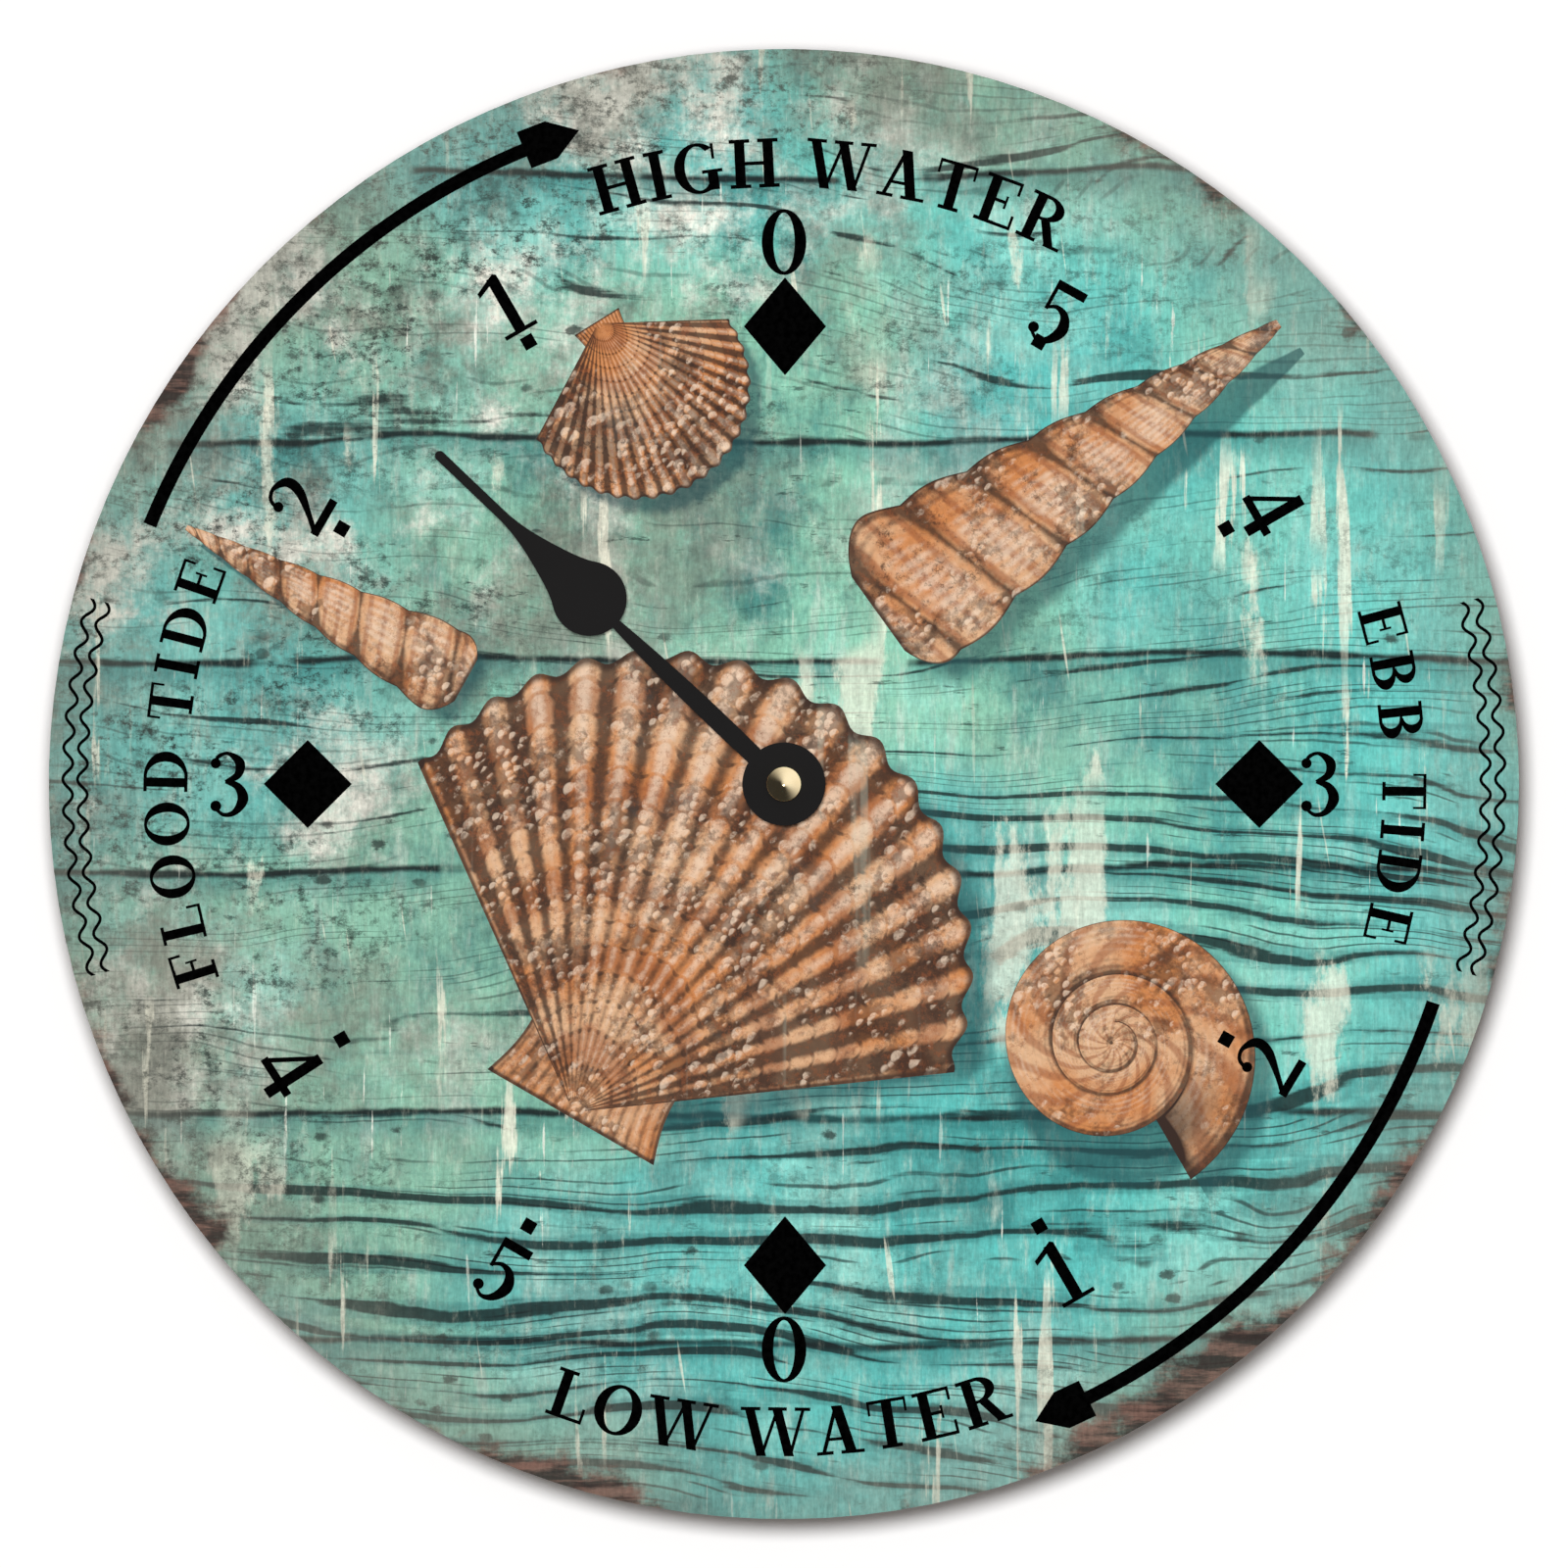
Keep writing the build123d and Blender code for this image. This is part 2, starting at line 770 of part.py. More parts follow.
# Clutch pinion: turns once an hour, and slips in the centre wheel when the hand is set
centre_turn = meshed_turn(
    reduction_place, reduction_wheel_teeth, centre_place, drive_pinion_teeth
)
centre_hub_rear = gear_level(3) - wheel_spacing / 2
centre_hub_front = gear_level(4) - end_shake
with BuildPart() as clutch_pinion:
    add_wheel(
        centre_place, 4, drive_pinion_teeth, drive_module, pinion_form_shares, centre_turn
    )
    add_arbor(centre_place, clutch_arbor_radius, pivot_radius)
    add_round(
        centre_place,
        gear_level(2),
        centre_hub_rear - end_shake,
        clutch_collar_radius,
    )
save(clutch_pinion, "clutch_pinion")

with BuildPart() as centre_wheel:
    add_wheel(centre_place, 3, centre_wheel_teeth, fine_module, wheel_form_shares)
    add_round(centre_place, centre_hub_rear, centre_hub_front, hub_radius)
    add_round(
        centre_place,
        centre_hub_rear,
        centre_hub_front,
        clutch_arbor_radius + clutch_clearance,
        Mode.SUBTRACT,
    )
save(centre_wheel, "centre_wheel")

# Third, seconds and intermediate wheels, each moulded with its pinion and arbor
third_turn = meshed_turn(centre_place, centre_wheel_teeth, third_place, small_pinion_teeth)
with BuildPart() as third_wheel:
    add_wheel(third_place, 2, third_wheel_teeth, fine_module, wheel_form_shares)
    add_wheel(third_place, 3, small_pinion_teeth, fine_module, pinion_form_shares, third_turn)
    add_arbor(third_place, wheel_arbor_radius, pivot_radius)
save(third_wheel, "third_wheel")

seconds_turn = meshed_turn(third_place, third_wheel_teeth, seconds_place, small_pinion_teeth)
with BuildPart() as seconds_wheel:
    add_wheel(seconds_place, 1, seconds_wheel_teeth, fine_module, wheel_form_shares)
    add_wheel(seconds_place, 2, small_pinion_teeth, fine_module, pinion_form_shares, seconds_turn)
    add_arbor(seconds_place, wheel_arbor_radius, pivot_radius)
save(seconds_wheel, "seconds_wheel")

intermediate_turn = meshed_turn(
    seconds_place, seconds_wheel_teeth, intermediate_place, intermediate_pinion_teeth
)
with BuildPart() as intermediate_wheel:
    add_wheel(intermediate_place, 0, intermediate_wheel_teeth, fine_module, wheel_form_shares)
    add_wheel(
        intermediate_place,
        1,
        intermediate_pinion_teeth,
        fine_module,
        pinion_form_shares,
        intermediate_turn,
    )
    add_arbor(intermediate_place, wheel_arbor_radius, pivot_radius)
save(intermediate_wheel, "intermediate_wheel")

# Rotor: a magnet on a pinion arbor, in the hole of the stator
rotor_turn = meshed_turn(
    intermediate_place, intermediate_wheel_teeth, rotor_place, small_pinion_teeth
)
rotor_middle = stator_rear + stator_thickness / 2
with BuildPart() as rotor_pinion:
    add_wheel(rotor_place, 0, small_pinion_teeth, fine_module, pinion_form_shares, rotor_turn)
    add_arbor(rotor_place, wheel_arbor_radius, rotor_pivot_radius)
save(rotor_pinion, "rotor_pinion")

with BuildPart() as rotor_magnet:
    with BuildSketch(depth(rotor_middle - rotor_length / 2)):
        with Locations(rotor_place):
            Circle(rotor_radius)
            Circle(wheel_arbor_radius + seat_clearance, mode=Mode.SUBTRACT)
    extrude(amount=rotor_length)
save(rotor_magnet, "rotor_magnet")

# Setting knob in the cover, and the stem that carries its turn to the reduction wheel
knob_turn = meshed_turn(reduction_place, reduction_wheel_teeth, knob_place, drive_pinion_teeth)
knob_front = knob_recess + knob_thickness
with BuildPart() as setting_stem:
    add_wheel(knob_place, 4, drive_pinion_teeth, drive_module, pinion_form_shares, knob_turn)
    add_round(knob_place, knob_front - knob_pin_length, knob_front, knob_pin_radius)
    add_round(knob_place, knob_front, gear_level(4), setting_stem_radius)
    add_round(knob_place, gear_level(4), case_inside - end_shake, wheel_arbor_radius)
    add_round(knob_place, case_inside - end_shake, case_inside + pivot_length, pivot_radius)
save(setting_stem, "setting_stem")

with BuildPart() as setting_knob:
    with BuildSketch(depth(knob_recess)):
        with Locations(knob_place):
            Circle(knob_radius)
            with PolarLocations(knob_radius, knob_grooves):
                Circle(knob_groove_radius, mode=Mode.SUBTRACT)
    extrude(amount=knob_thickness)
    with BuildSketch(depth(knob_recess)):
        with Locations(knob_place):
            SlotOverall(2 * (knob_radius - knob_slot_width), knob_slot_width)
    extrude(amount=knob_slot_depth - knob_slot_width / 2, mode=Mode.SUBTRACT)
    add_round(
        knob_place,
        knob_front - knob_pin_length,
        knob_front,
        knob_pin_radius + seat_clearance,
        Mode.SUBTRACT,
    )
save(setting_knob, "setting_knob")

# Bridge: carries the rear pivots of the train, pinned on the posts of the case
with BuildPart() as train_bridge:
    with BuildSketch(depth(bridge_rear)):
        with Locations(((bridge_left + bridge_right) / 2, (bridge_low + bridge_high) / 2)):
            RectangleRounded(bridge_right - bridge_left, bridge_high - bridge_low, bridge_corner)
        with Locations(*bridge_posts):
            Circle(post_pin_radius + pin_clearance, mode=Mode.SUBTRACT)
        with Locations(tide_place):
            Circle(tide_pivot_radius + pivot_clearance, mode=Mode.SUBTRACT)
        with Locations(knob_place):
            Circle(setting_stem_radius + arbor_running_clearance, mode=Mode.SUBTRACT)
        with Locations(rotor_place):
            Circle(rotor_pivot_radius + pivot_clearance, mode=Mode.SUBTRACT)
        for place in pivot_places:
            if place != knob_place:
                with Locations(place):
                    Circle(pivot_radius + pivot_clearance, mode=Mode.SUBTRACT)
    extrude(amount=bridge_thickness)
save(train_bridge, "train_bridge")

# Stator: a bar with the rotor hole at one end and two ears up to the coil
bar_low = rotor_place[1] - stator_bar_width / 2
with BuildPart() as stator_plate:
    with BuildSketch(depth(stator_rear)):
        with Locations(((left_ear_x - stator_ear_width / 2 + rotor_place[0]) / 2, rotor_place[1])):
            Rectangle(rotor_place[0] - left_ear_x + stator_ear_width / 2, stator_bar_width)
        with Locations(rotor_place):
            Circle(stator_lobe_radius)
        for place in ear_places:
            with Locations((place[0], (bar_low + ear_top) / 2)):
                Rectangle(stator_ear_width, ear_top - bar_low)
        with Locations(*ear_places):
            Circle(motor_pin_radius + pin_clearance, mode=Mode.SUBTRACT)
        with Locations(rotor_place):
            Circle(rotor_radius + rotor_gap, mode=Mode.SUBTRACT)
    extrude(amount=stator_thickness)
save(stator_plate, "stator_plate")

# Coil: core bar on the ears, bobbin round the core, winding round the bobbin
with BuildPart() as coil_core:
    with BuildSketch(depth(core_rear)):
        with Locations((coil_x, coil_y)):
            Rectangle(right_ear_x - left_ear_x, core_width)
        with Locations(*ear_places):
            Rectangle(stator_ear_width, stator_ear_width)
            Circle(motor_pin_radius + pin_clearance, mode=Mode.SUBTRACT)
    extrude(amount=core_thickness)
save(coil_core, "coil_core")

coil_plane = Plane(
    origin=(coil_x - coil_length / 2, -coil_depth, coil_y - hanger_drop),
    x_dir=(0, 1, 0),
    z_dir=(1, 0, 0),
)
bobbin_width = core_width + 2 * (bobbin_clearance + bobbin_wall)
bobbin_height = core_thickness + 2 * (bobbin_clearance + bobbin_wall)
with BuildPart() as coil_bobbin:
    for start in (0, coil_length - coil_flange_thickness):
        with BuildSketch(coil_plane.offset(start)):
            Circle(coil_radius + coil_rim)
        extrude(amount=coil_flange_thickness)
    with BuildSketch(coil_plane):
        Rectangle(bobbin_height, bobbin_width)
    extrude(amount=coil_length)
    with BuildSketch(coil_plane):
        Rectangle(core_thickness + 2 * bobbin_clearance, core_width + 2 * bobbin_clearance)
    extrude(amount=coil_length, mode=Mode.SUBTRACT)
save(coil_bobbin, "coil_bobbin")

with BuildPart() as coil_winding:
    with BuildSketch(coil_plane.offset(coil_flange_thickness)):
        Circle(coil_radius)
        Rectangle(bobbin_height, bobbin_width, mode=Mode.SUBTRACT)
    extrude(amount=coil_length - 2 * coil_flange_thickness)
save(coil_winding, "coil_winding")

# Circuit board on its posts, with the timing chip and the crystal can on its back
circuit_x = (circuit_left + circuit_right) / 2
with BuildPart() as circuit_board:
    add_box(
        (circuit_left, circuit_right), (circuit_low, circuit_high), circuit_rear, circuit_front
    )
    for place in circuit_posts:
        add_round(
            place, circuit_rear, circuit_front, circuit_pin_radius + pin_clearance, Mode.SUBTRACT
        )
save(circuit_board, "circuit_board")

with BuildPart() as timing_chip:
    add_box(
        (circuit_x - chip_side, circuit_x),
        (circuit_high - circuit_post_inset - chip_side, circuit_high - circuit_post_inset),
        circuit_rear - chip_height,
        circuit_rear,
    )
save(timing_chip, "timing_chip")

crystal_x = circuit_x + chip_side / 2
crystal_low = circuit_low + circuit_post_inset
with BuildPart() as crystal_can:
    with BuildSketch(
        Plane(
            origin=(crystal_x, crystal_radius - circuit_rear, crystal_low - hanger_drop),
            x_dir=(1, 0, 0),
            z_dir=(0, 0, 1),
        )
    ):
        Circle(crystal_radius)
    extrude(amount=crystal_length)
save(crystal_can, "crystal_can")

# Battery cell lying across the bay, with its raised contact to the right
cell_plane = Plane(
    origin=(-cell_length / 2, -cell_depth, cell_place_y - hanger_drop),
    x_dir=(0, 1, 0),
    z_dir=(1, 0, 0),
)
with BuildPart() as battery:
    with BuildSketch(cell_plane):
        Circle(cell_diameter / 2)
    extrude(amount=cell_length - cell_nub_length)
    fillet(battery.edges().filter_by(GeomType.CIRCLE), cell_edge_radius)
    with BuildSketch(cell_plane.offset(cell_length - cell_nub_length)):
        Circle(cell_nub_radius)
    extrude(amount=cell_nub_length)
save(battery, "battery")

# Contacts: a leaf at each end of the bay and a strip that runs to the circuit board
leaf_low = leaf_margin - inside_half
leaf_high = partition_high
strip_rear = circuit_rear - strip_height
bump_length = inside_half - leaf_thickness - cell_length / 2 - contact_gap


def add_contact_leaf(side):
    # leaf against the end wall of the bay, with its bump towards the cell
    wall_x = side * inside_half
    inner_x = side * (inside_half - leaf_thickness)
    x_range = (min(wall_x, inner_x), max(wall_x, inner_x))
    add_box(
        x_range, (leaf_low, partition_low - contact_gap), leaf_margin, case_inside - leaf_margin
    )
    add_box(x_range, (leaf_low, leaf_high), strip_rear, circuit_rear)
    bump_plane = Plane(
        origin=(inner_x, -cell_depth, cell_place_y - hanger_drop),
        x_dir=(0, 1, 0),
        z_dir=(-side, 0, 0),
    )
    extrude(round_sketch(bump_plane, (0, 0), contact_bump_radius), amount=bump_length)


with BuildPart() as contact_plus:
    add_contact_leaf(1)
    add_box(
        (inside_half - leaf_thickness, inside_half),
        (leaf_high, circuit_low + tab_width),
        strip_rear,
        circuit_rear,
    )
    add_box(
        (inside_half - tab_reach, inside_half),
        (circuit_low, circuit_low + tab_width),
        circuit_rear - leaf_thickness,
        circuit_rear,
    )
save(contact_plus, "contact_plus")

with BuildPart() as contact_minus:
    add_contact_leaf(-1)
    add_box(
        (-inside_half, circuit_left + tab_width),
        (partition_high, partition_high + leaf_thickness),
        strip_rear,
        circuit_rear,
    )
    add_box(
        (circuit_left, circuit_left + tab_width),
        (partition_high, partition_high + tab_reach),
        circuit_rear - leaf_thickness,
        circuit_rear,
    )
save(contact_minus, "contact_minus")
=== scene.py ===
import math

import bpy
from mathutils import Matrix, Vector, geometry


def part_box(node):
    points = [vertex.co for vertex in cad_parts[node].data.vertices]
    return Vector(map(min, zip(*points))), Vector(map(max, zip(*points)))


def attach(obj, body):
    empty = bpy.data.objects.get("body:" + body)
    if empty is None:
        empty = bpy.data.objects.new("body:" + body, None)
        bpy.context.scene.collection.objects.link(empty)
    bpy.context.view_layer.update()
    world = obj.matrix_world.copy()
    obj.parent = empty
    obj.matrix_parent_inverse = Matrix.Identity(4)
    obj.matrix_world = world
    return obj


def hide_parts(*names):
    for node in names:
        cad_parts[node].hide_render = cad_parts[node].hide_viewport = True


# Looks of a round tide clock that hangs on a wall. The face looks along -Y, lengths in metres.
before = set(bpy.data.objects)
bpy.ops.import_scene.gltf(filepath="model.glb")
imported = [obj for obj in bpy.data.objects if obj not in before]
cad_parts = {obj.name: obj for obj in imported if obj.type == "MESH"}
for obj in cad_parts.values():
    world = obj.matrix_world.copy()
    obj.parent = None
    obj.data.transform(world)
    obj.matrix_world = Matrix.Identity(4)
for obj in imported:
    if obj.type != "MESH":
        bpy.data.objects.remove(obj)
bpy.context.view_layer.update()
print("frame loaded:", len(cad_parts), "nodes")

# places on the dial are given in pixels of the photograph, from the centre of the disc
discPixels = 1500
framePixels = 1600
filmLow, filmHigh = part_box("printed_face")
dialCentre = Vector(((filmLow.x + filmHigh.x) / 2, filmLow.y, (filmLow.z + filmHigh.z) / 2))
discRadius = (filmHigh.x - filmLow.x) / 2
pixel = 2 * discRadius / discPixels


def dialPoint(x, y):
    return Vector((dialCentre.x + x * pixel, filmLow.y, dialCentre.z + y * pixel))


def clockDirection(degrees):
    # unit vectors outwards and clockwise at an angle counted clockwise from the top
    turn = math.radians(degrees)
    return Vector((math.sin(turn), math.cos(turn))), Vector((math.cos(turn), -math.sin(turn)))


# Node sums: a Wire is a node's output that plain arithmetic can be written with

def paint(red, green, blue):
    # colour written as 0 to 255 on the screen, as the linear one that shaders take
    shares = [part / 255 for part in (red, green, blue)]
    linear = [s / 12.92 if s < .04045 else ((s + .055) / 1.055) ** 2.4 for s in shares]
    return (*linear, 1)


class Wire:
    def __init__(self, socket):
        self.socket = socket
        self.tree = socket.id_data

    def __add__(self, other):
        return maths("ADD", self, other)

    def __sub__(self, other):
        return maths("SUBTRACT", self, other)

    def __mul__(self, other):
        return maths("MULTIPLY", self, other)

    def __rsub__(self, other):
        return maths("SUBTRACT", other, self)

    __radd__ = __add__
    __rmul__ = __mul__


def plug(value, port):
    if isinstance(value, Wire):
        value.tree.links.new(value.socket, port)
    else:
        port.default_value = value


def nodeOf(tree, kind, *values, **named):
    # new node whose inputs get wires or values, in order or by name
    node = tree.nodes.new("ShaderNode" + kind)
    for port, value in [*enumerate(values), *named.items()]:
        plug(value, node.inputs[port])
    return node


def treeOf(*parts):
    return next(part.tree for part in parts if isinstance(part, Wire))


def maths(operation, *terms):
    node = nodeOf(treeOf(*terms), "Math", *terms)
    node.operation = operation
    return Wire(node.outputs[0])


def wave(wire):
    # cosine of whole turns
    return maths("COSINE", wire * (2 * math.pi))


def rise(wire, low, high):
    # smooth step from 0 at low to 1 at high, or down from 1 where high is the lower one
    falls = int(low > high)
    ends = (min(low, high), max(low, high), falls, 1 - falls)
    node = nodeOf(wire.tree, "MapRange", wire, *ends)
    node.interpolation_type = "SMOOTHSTEP"
    return Wire(node.outputs["Result"])


def patternOf(kind, place, stretch, shift, **named):
    # texture node on a place that is stretched and shifted first
    mapping = nodeOf(place.tree, "Mapping", place, Location=shift, Scale=stretch)
    return nodeOf(place.tree, kind, Wire(mapping.outputs[0]), **named)


def noise(place, scale, detail=3, stretch=(1, 1, 1), shift=0, rough=.5):
    # smooth noise between 0 and 1
    moved = (shift, shift / 2, shift * 2)
    looks = {"Scale": scale, "Detail": detail, "Roughness": rough}
    return Wire(patternOf("TexNoise", place, stretch, moved, **looks).outputs["Fac"])


def cells(place, scale, stretch=(1, 1, 1), shift=(0, 0, 0)):
    # distance to the nearest point of a scatter
    return Wire(patternOf("TexVoronoi", place, stretch, shift, Scale=scale).outputs["Distance"])


def blendOf(share, first, second, kind="MIX"):
    # colour between two others
    node = nodeOf(treeOf(share, first, second), "Mix")
    node.data_type = "RGBA"
    node.blend_type = kind
    node.clamp_factor = True
    for port, value in ((0, share), (6, first), (7, second)):
        plug(value, node.inputs[port])
    return Wire(node.outputs[2])


class Coats:
    # a colour built up coat by coat from a dictionary of colours
    def __init__(self, colours, start):
        self.colours = colours
        self.colour = start

    def lay(self, share, name):
        self.colour = blendOf(share, self.colour, self.colours[name])


def newMaterial(name, roughness=.5, metallic=0, specular=.5):
    material = bpy.data.materials.new(name)
    material.use_nodes = True
    shader = material.node_tree.nodes["Principled BSDF"]
    shader.inputs["Roughness"].default_value = roughness
    shader.inputs["Metallic"].default_value = metallic
    shader.inputs["Specular IOR Level"].default_value = specular
    return material, material.node_tree, shader


def placeOf(tree, centre=(0, 0, 0), scale=1, turn=(0, 0, 0)):
    # object coordinates about a point, multiplied by a scale
    coordinates = Wire(nodeOf(tree, "TexCoord").outputs["Object"])
    shifted = nodeOf(tree, "VectorMath", coordinates, centre)
    shifted.operation = "SUBTRACT"
    mapping = nodeOf(tree, "Mapping", Wire(shifted.outputs[0]), Rotation=turn, Scale=[scale] * 3)
    return Wire(mapping.outputs[0])


def partsOf(vector):
    return [Wire(output) for output in nodeOf(vector.tree, "SeparateXYZ", vector).outputs]


def dialPlace(tree, turn=(0, 0, 0)):
    # place on the dial in disc radii
    return placeOf(tree, dialCentre, 1 / discRadius, turn)


def inkedMaterial(name):
    # matt print on the film
    return newMaterial(name, roughness=.62, specular=.12)


def bumpFrom(shader, height, distance, strength):
    node = nodeOf(height.tree, "Bump", Distance=distance, Strength=strength, Height=height)
    plug(Wire(node.outputs["Normal"]), shader.inputs["Normal"])


def colourTo(shader, colour):
    plug(colour, shader.inputs["Base Color"])


# Painted boards of the print. One node group makes their colour, because the picture's
# shadows show the same boards, only darker.

boards = {
    "aqua": paint(98, 188, 180),
    "green": paint(138, 198, 174),
    "bright": paint(152, 216, 202),
    "clear": paint(104, 202, 194),
    "deep": paint(48, 122, 120),
    "cream": paint(214, 226, 206),
    "chalk": paint(190, 214, 200),
    "worn": paint(218, 232, 218),
    "dirt": paint(126, 136, 124),
    "soot": paint(36, 48, 45),
    "crack": paint(8, 30, 32),
    "bare": paint(124, 104, 92),
    "bareDark": paint(52, 42, 38),
    "seamShares": (.83, .47, .17, -.12, -.45, -.76),   # heights of the seams in disc radii
    "grainLines": 21,                                  # in one disc radius
    "middle": paint(118, 163, 151),
    "contrast": 1.28,                                  # round the middle colour
}


def makeBoards():
    group = bpy.data.node_groups.new("paintedBoards", "ShaderNodeTree")
    group.interface.new_socket("Color", in_out="OUTPUT", socket_type="NodeSocketColor")
    output = group.nodes.new("NodeGroupOutput")
    place = dialPlace(group)
    leaning = dialPlace(group, (0, math.radians(8), 0))
    x, _, z = partsOf(place)
    lower = rise(z - x * .5, .25, -.6)
    corner = rise(z * .7 - x * 1.1, -.35, 1)
    speckle = noise(place, 44, 7, (1, 1, 1.4), shift=11.8, rough=.82)

    # broad colour: aqua and green with bright and deep clouds
    broad = noise(place, 1.7, 2, shift=3.1)
    clouds = noise(place, 3.6, 8, (1, 1, .8), shift=8.4, rough=.66)
    coats = Coats(boards, blendOf(rise(broad, .4, .6), boards["aqua"], boards["green"]))
    coats.lay(rise(clouds, .5, .68) * .8, "bright")
    coats.lay(rise(clouds, .5, .33) * .8, "deep")
    mottle = noise(place, 15, 6, (1, 1, .7), shift=4.9, rough=.7)
    coats.lay(rise(mottle, .48, .68) * .4, "deep")
    brushed = noise(place, 11, 6, (4, 1, .7), shift=1.7, rough=.68)
    coats.lay(rise(brushed, .52, .7) * .45, "chalk")

    # worn pale clouds and grey dirt, most of it to the upper left
    worn = rise(noise(place, 3.1, 8, shift=5.2, rough=.7), .48, .64) * (.2 + corner * 1.3)
    coats.lay(worn * .85, "worn")
    dirt = noise(place, 2.3, 9, (1, 1, 1.1), shift=12.3, rough=.74)
    coats.lay(rise(dirt, .46, .62) * (.2 + corner * .75), "dirt")
    coats.lay(rise(x, .15, -.7) * .26, "dirt")
    coats.lay(rise(x + mottle * .3, .4, 1) * .5, "clear")

    # boards with dark seams and a deeper tone under each
    wander = noise(place, 2, 5, (1, 1, .2), shift=2.2)
    height = z + (wander - .5) * .06
    for number, share in enumerate(boards["seamShares"]):
        breaks = rise(noise(place, 4, 4, (1, 1, .1), shift=20 + number), .38, .44)
        thick = noise(place, 14, 5, (1, 1, .3), shift=40 + number) * .01
        off = maths("ABSOLUTE", height - share) - thick + (speckle - .5) * .006
        under = rise(height, share - .05, share - .004) * rise(height, share, share - .002)
        coats.lay(under * breaks * .5, "deep")
        coats.lay(rise(off, .003, -.004) * breaks * .95, "crack")

    # grain: long wavering dark lines that swell and die away, most in the lower half
    bend = noise(place, .9, 3, (.7, 1, 2), shift=6.6)
    rings = height * boards["grainLines"] + bend * 12
    across = maths("ABSOLUTE", maths("FRACT", rings) - .5)
    swell = noise(place, 3, 5, (.5, 1, 9), shift=9.1, rough=.55) - .5
    width = swell * .8 + lower * .1 - .02 + (speckle - .5) * .1
    coats.lay(rise(across - width * 2.2, .1, -.1) * lower * .4, "deep")
    coats.lay(rise(across - width, .02, -.06) * .84, "crack")
    fineAcross = maths("ABSOLUTE", maths("FRACT", rings * 3.7) - .5)
    fineBreaks = rise(noise(place, 5, 5, (.4, 1, 6), shift=4.4), .5, .58)
    fine = rise(fineAcross, .14, .04) * fineBreaks * (.35 + lower * .35)
    coats.lay(fine, "crack")

    # cream paint that ran down: ragged patches, thin runs and leaning scratches
    ragged = noise(place, 70, 5, (1, 1, .4), shift=44.2, rough=.75)
    patch = noise(place, 8, 3, (1, 1, .17), shift=51.6) + (ragged - .5) * .16
    where = rise(noise(place, 2.4, 3, (1, 1, .9), shift=47.7), .47, .53)
    coats.lay(rise(patch, .61, .65) * where * .6, "cream")
    thin = noise(place, 34, 4, (1, 1, .06), shift=15.1, rough=.6) + (ragged - .5) * .12
    runs = rise(noise(place, 4.5, 3, (1, 1, .6), shift=18.2), .46, .58)
    coats.lay(rise(thin, .61, .66) * runs * .75, "cream")
    hairs = noise(place, 120, 2, (1, 1, .045), shift=64.8) + (ragged - .5) * .3
    coats.lay(rise(hairs, .68, .74) * (.3 + runs * .4), "worn")
    scratches = rise(noise(leaning, 70, 2, (1, 1, .05), shift=61.4), .7, .74)
    coats.lay(scratches * .6, "cream")
    haze = rise(noise(place, 30, 6, (1.6, 1, .5), shift=71.4, rough=.75), .5, .75)
    coats.lay(haze * .3, "cream")

    # short dark flecks along the boards
    flecks = noise(place, 52, 5, (.3, 1, 1.3), shift=33.3, rough=.7)
    fleckShare = rise(noise(place, 3.8, 4, shift=36.1), .42, .6)
    coats.lay(rise(flecks, .61, .69) * fleckShare * .6, "crack")

    # dark mould in speckled clusters, and lone knots
    length = maths("SQRT", x * x + z * z)
    nearRim = rise(length, .7, 1) * corner
    clusters = noise(place, 3.4, 5, (1, 1, 1.5), shift=27.5, rough=.6)
    clusters = clusters + corner * .05 + nearRim * .12
    mould = rise(speckle, .48, .64) * rise(clusters, .48, .64) * (.45 + corner * .55)
    coats.lay(mould * .9, "soot")
    smudge = rise(noise(place, 9, 8, shift=88.1, rough=.78), .5, .66)
    coats.lay(smudge * (corner * .5 + nearRim * .3) * .75, "soot")
    dots = rise(cells(place, 15, (1, 1, 1.6)) + (speckle - .5) * .5, .2, .1)
    dotShare = dots * rise(noise(place, 2.7, 2, shift=25.5), .5, .6)
    coats.lay(dotShare * .75, "soot")

    # bare wood where the paint has gone at the edge, under a soft grey rim
    gone = noise(place, 2.3, 9, shift=14.2, rough=.66)
    rimmed = rise(length + (gone - .5) * .4, .8, 1.04)
    coats.lay(rimmed * .55, "dirt")
    streaks = noise(place, 22, 6, (.4, 1, 3), shift=3.3, rough=.7)
    bare = blendOf(rise(streaks, .4, .62), boards["bareDark"], boards["bare"])
    edge = rise(length + (gone - .5) * .5, 1, 1.04) * .9
    colour = blendOf(edge, coats.colour, bare)

    # fine tooth of the print
    tooth = noise(place, 170, 2, shift=2.9)
    fibres = noise(place, 42, 5, (4, 1, .6), shift=6.1, rough=.75)
    level = .38 + fibres * .86 + tooth * .4
    grey = Wire(nodeOf(group, "CombineColor", level, level, level).outputs[0])
    toned = blendOf(1, colour, grey, "MULTIPLY")
    steeper = Wire(nodeOf(group, "Gamma", toned, boards["contrast"]).outputs[0])
    level = [part ** (1 - boards["contrast"]) for part in boards["middle"]]
    plug(blendOf(1, steeper, level, "MULTIPLY"), output.inputs["Color"])
    return group


boardsGroup = makeBoards()


def boardsColour(tree):
    node = nodeOf(tree, "Group")
    node.node_tree = boardsGroup
    return Wire(node.outputs["Color"])


filmMaterial, filmTree, filmShader = inkedMaterial("printedBoards")
colourTo(filmShader, boardsColour(filmTree))

print("boards painted")

# Camera: straight at the dial from a long way off

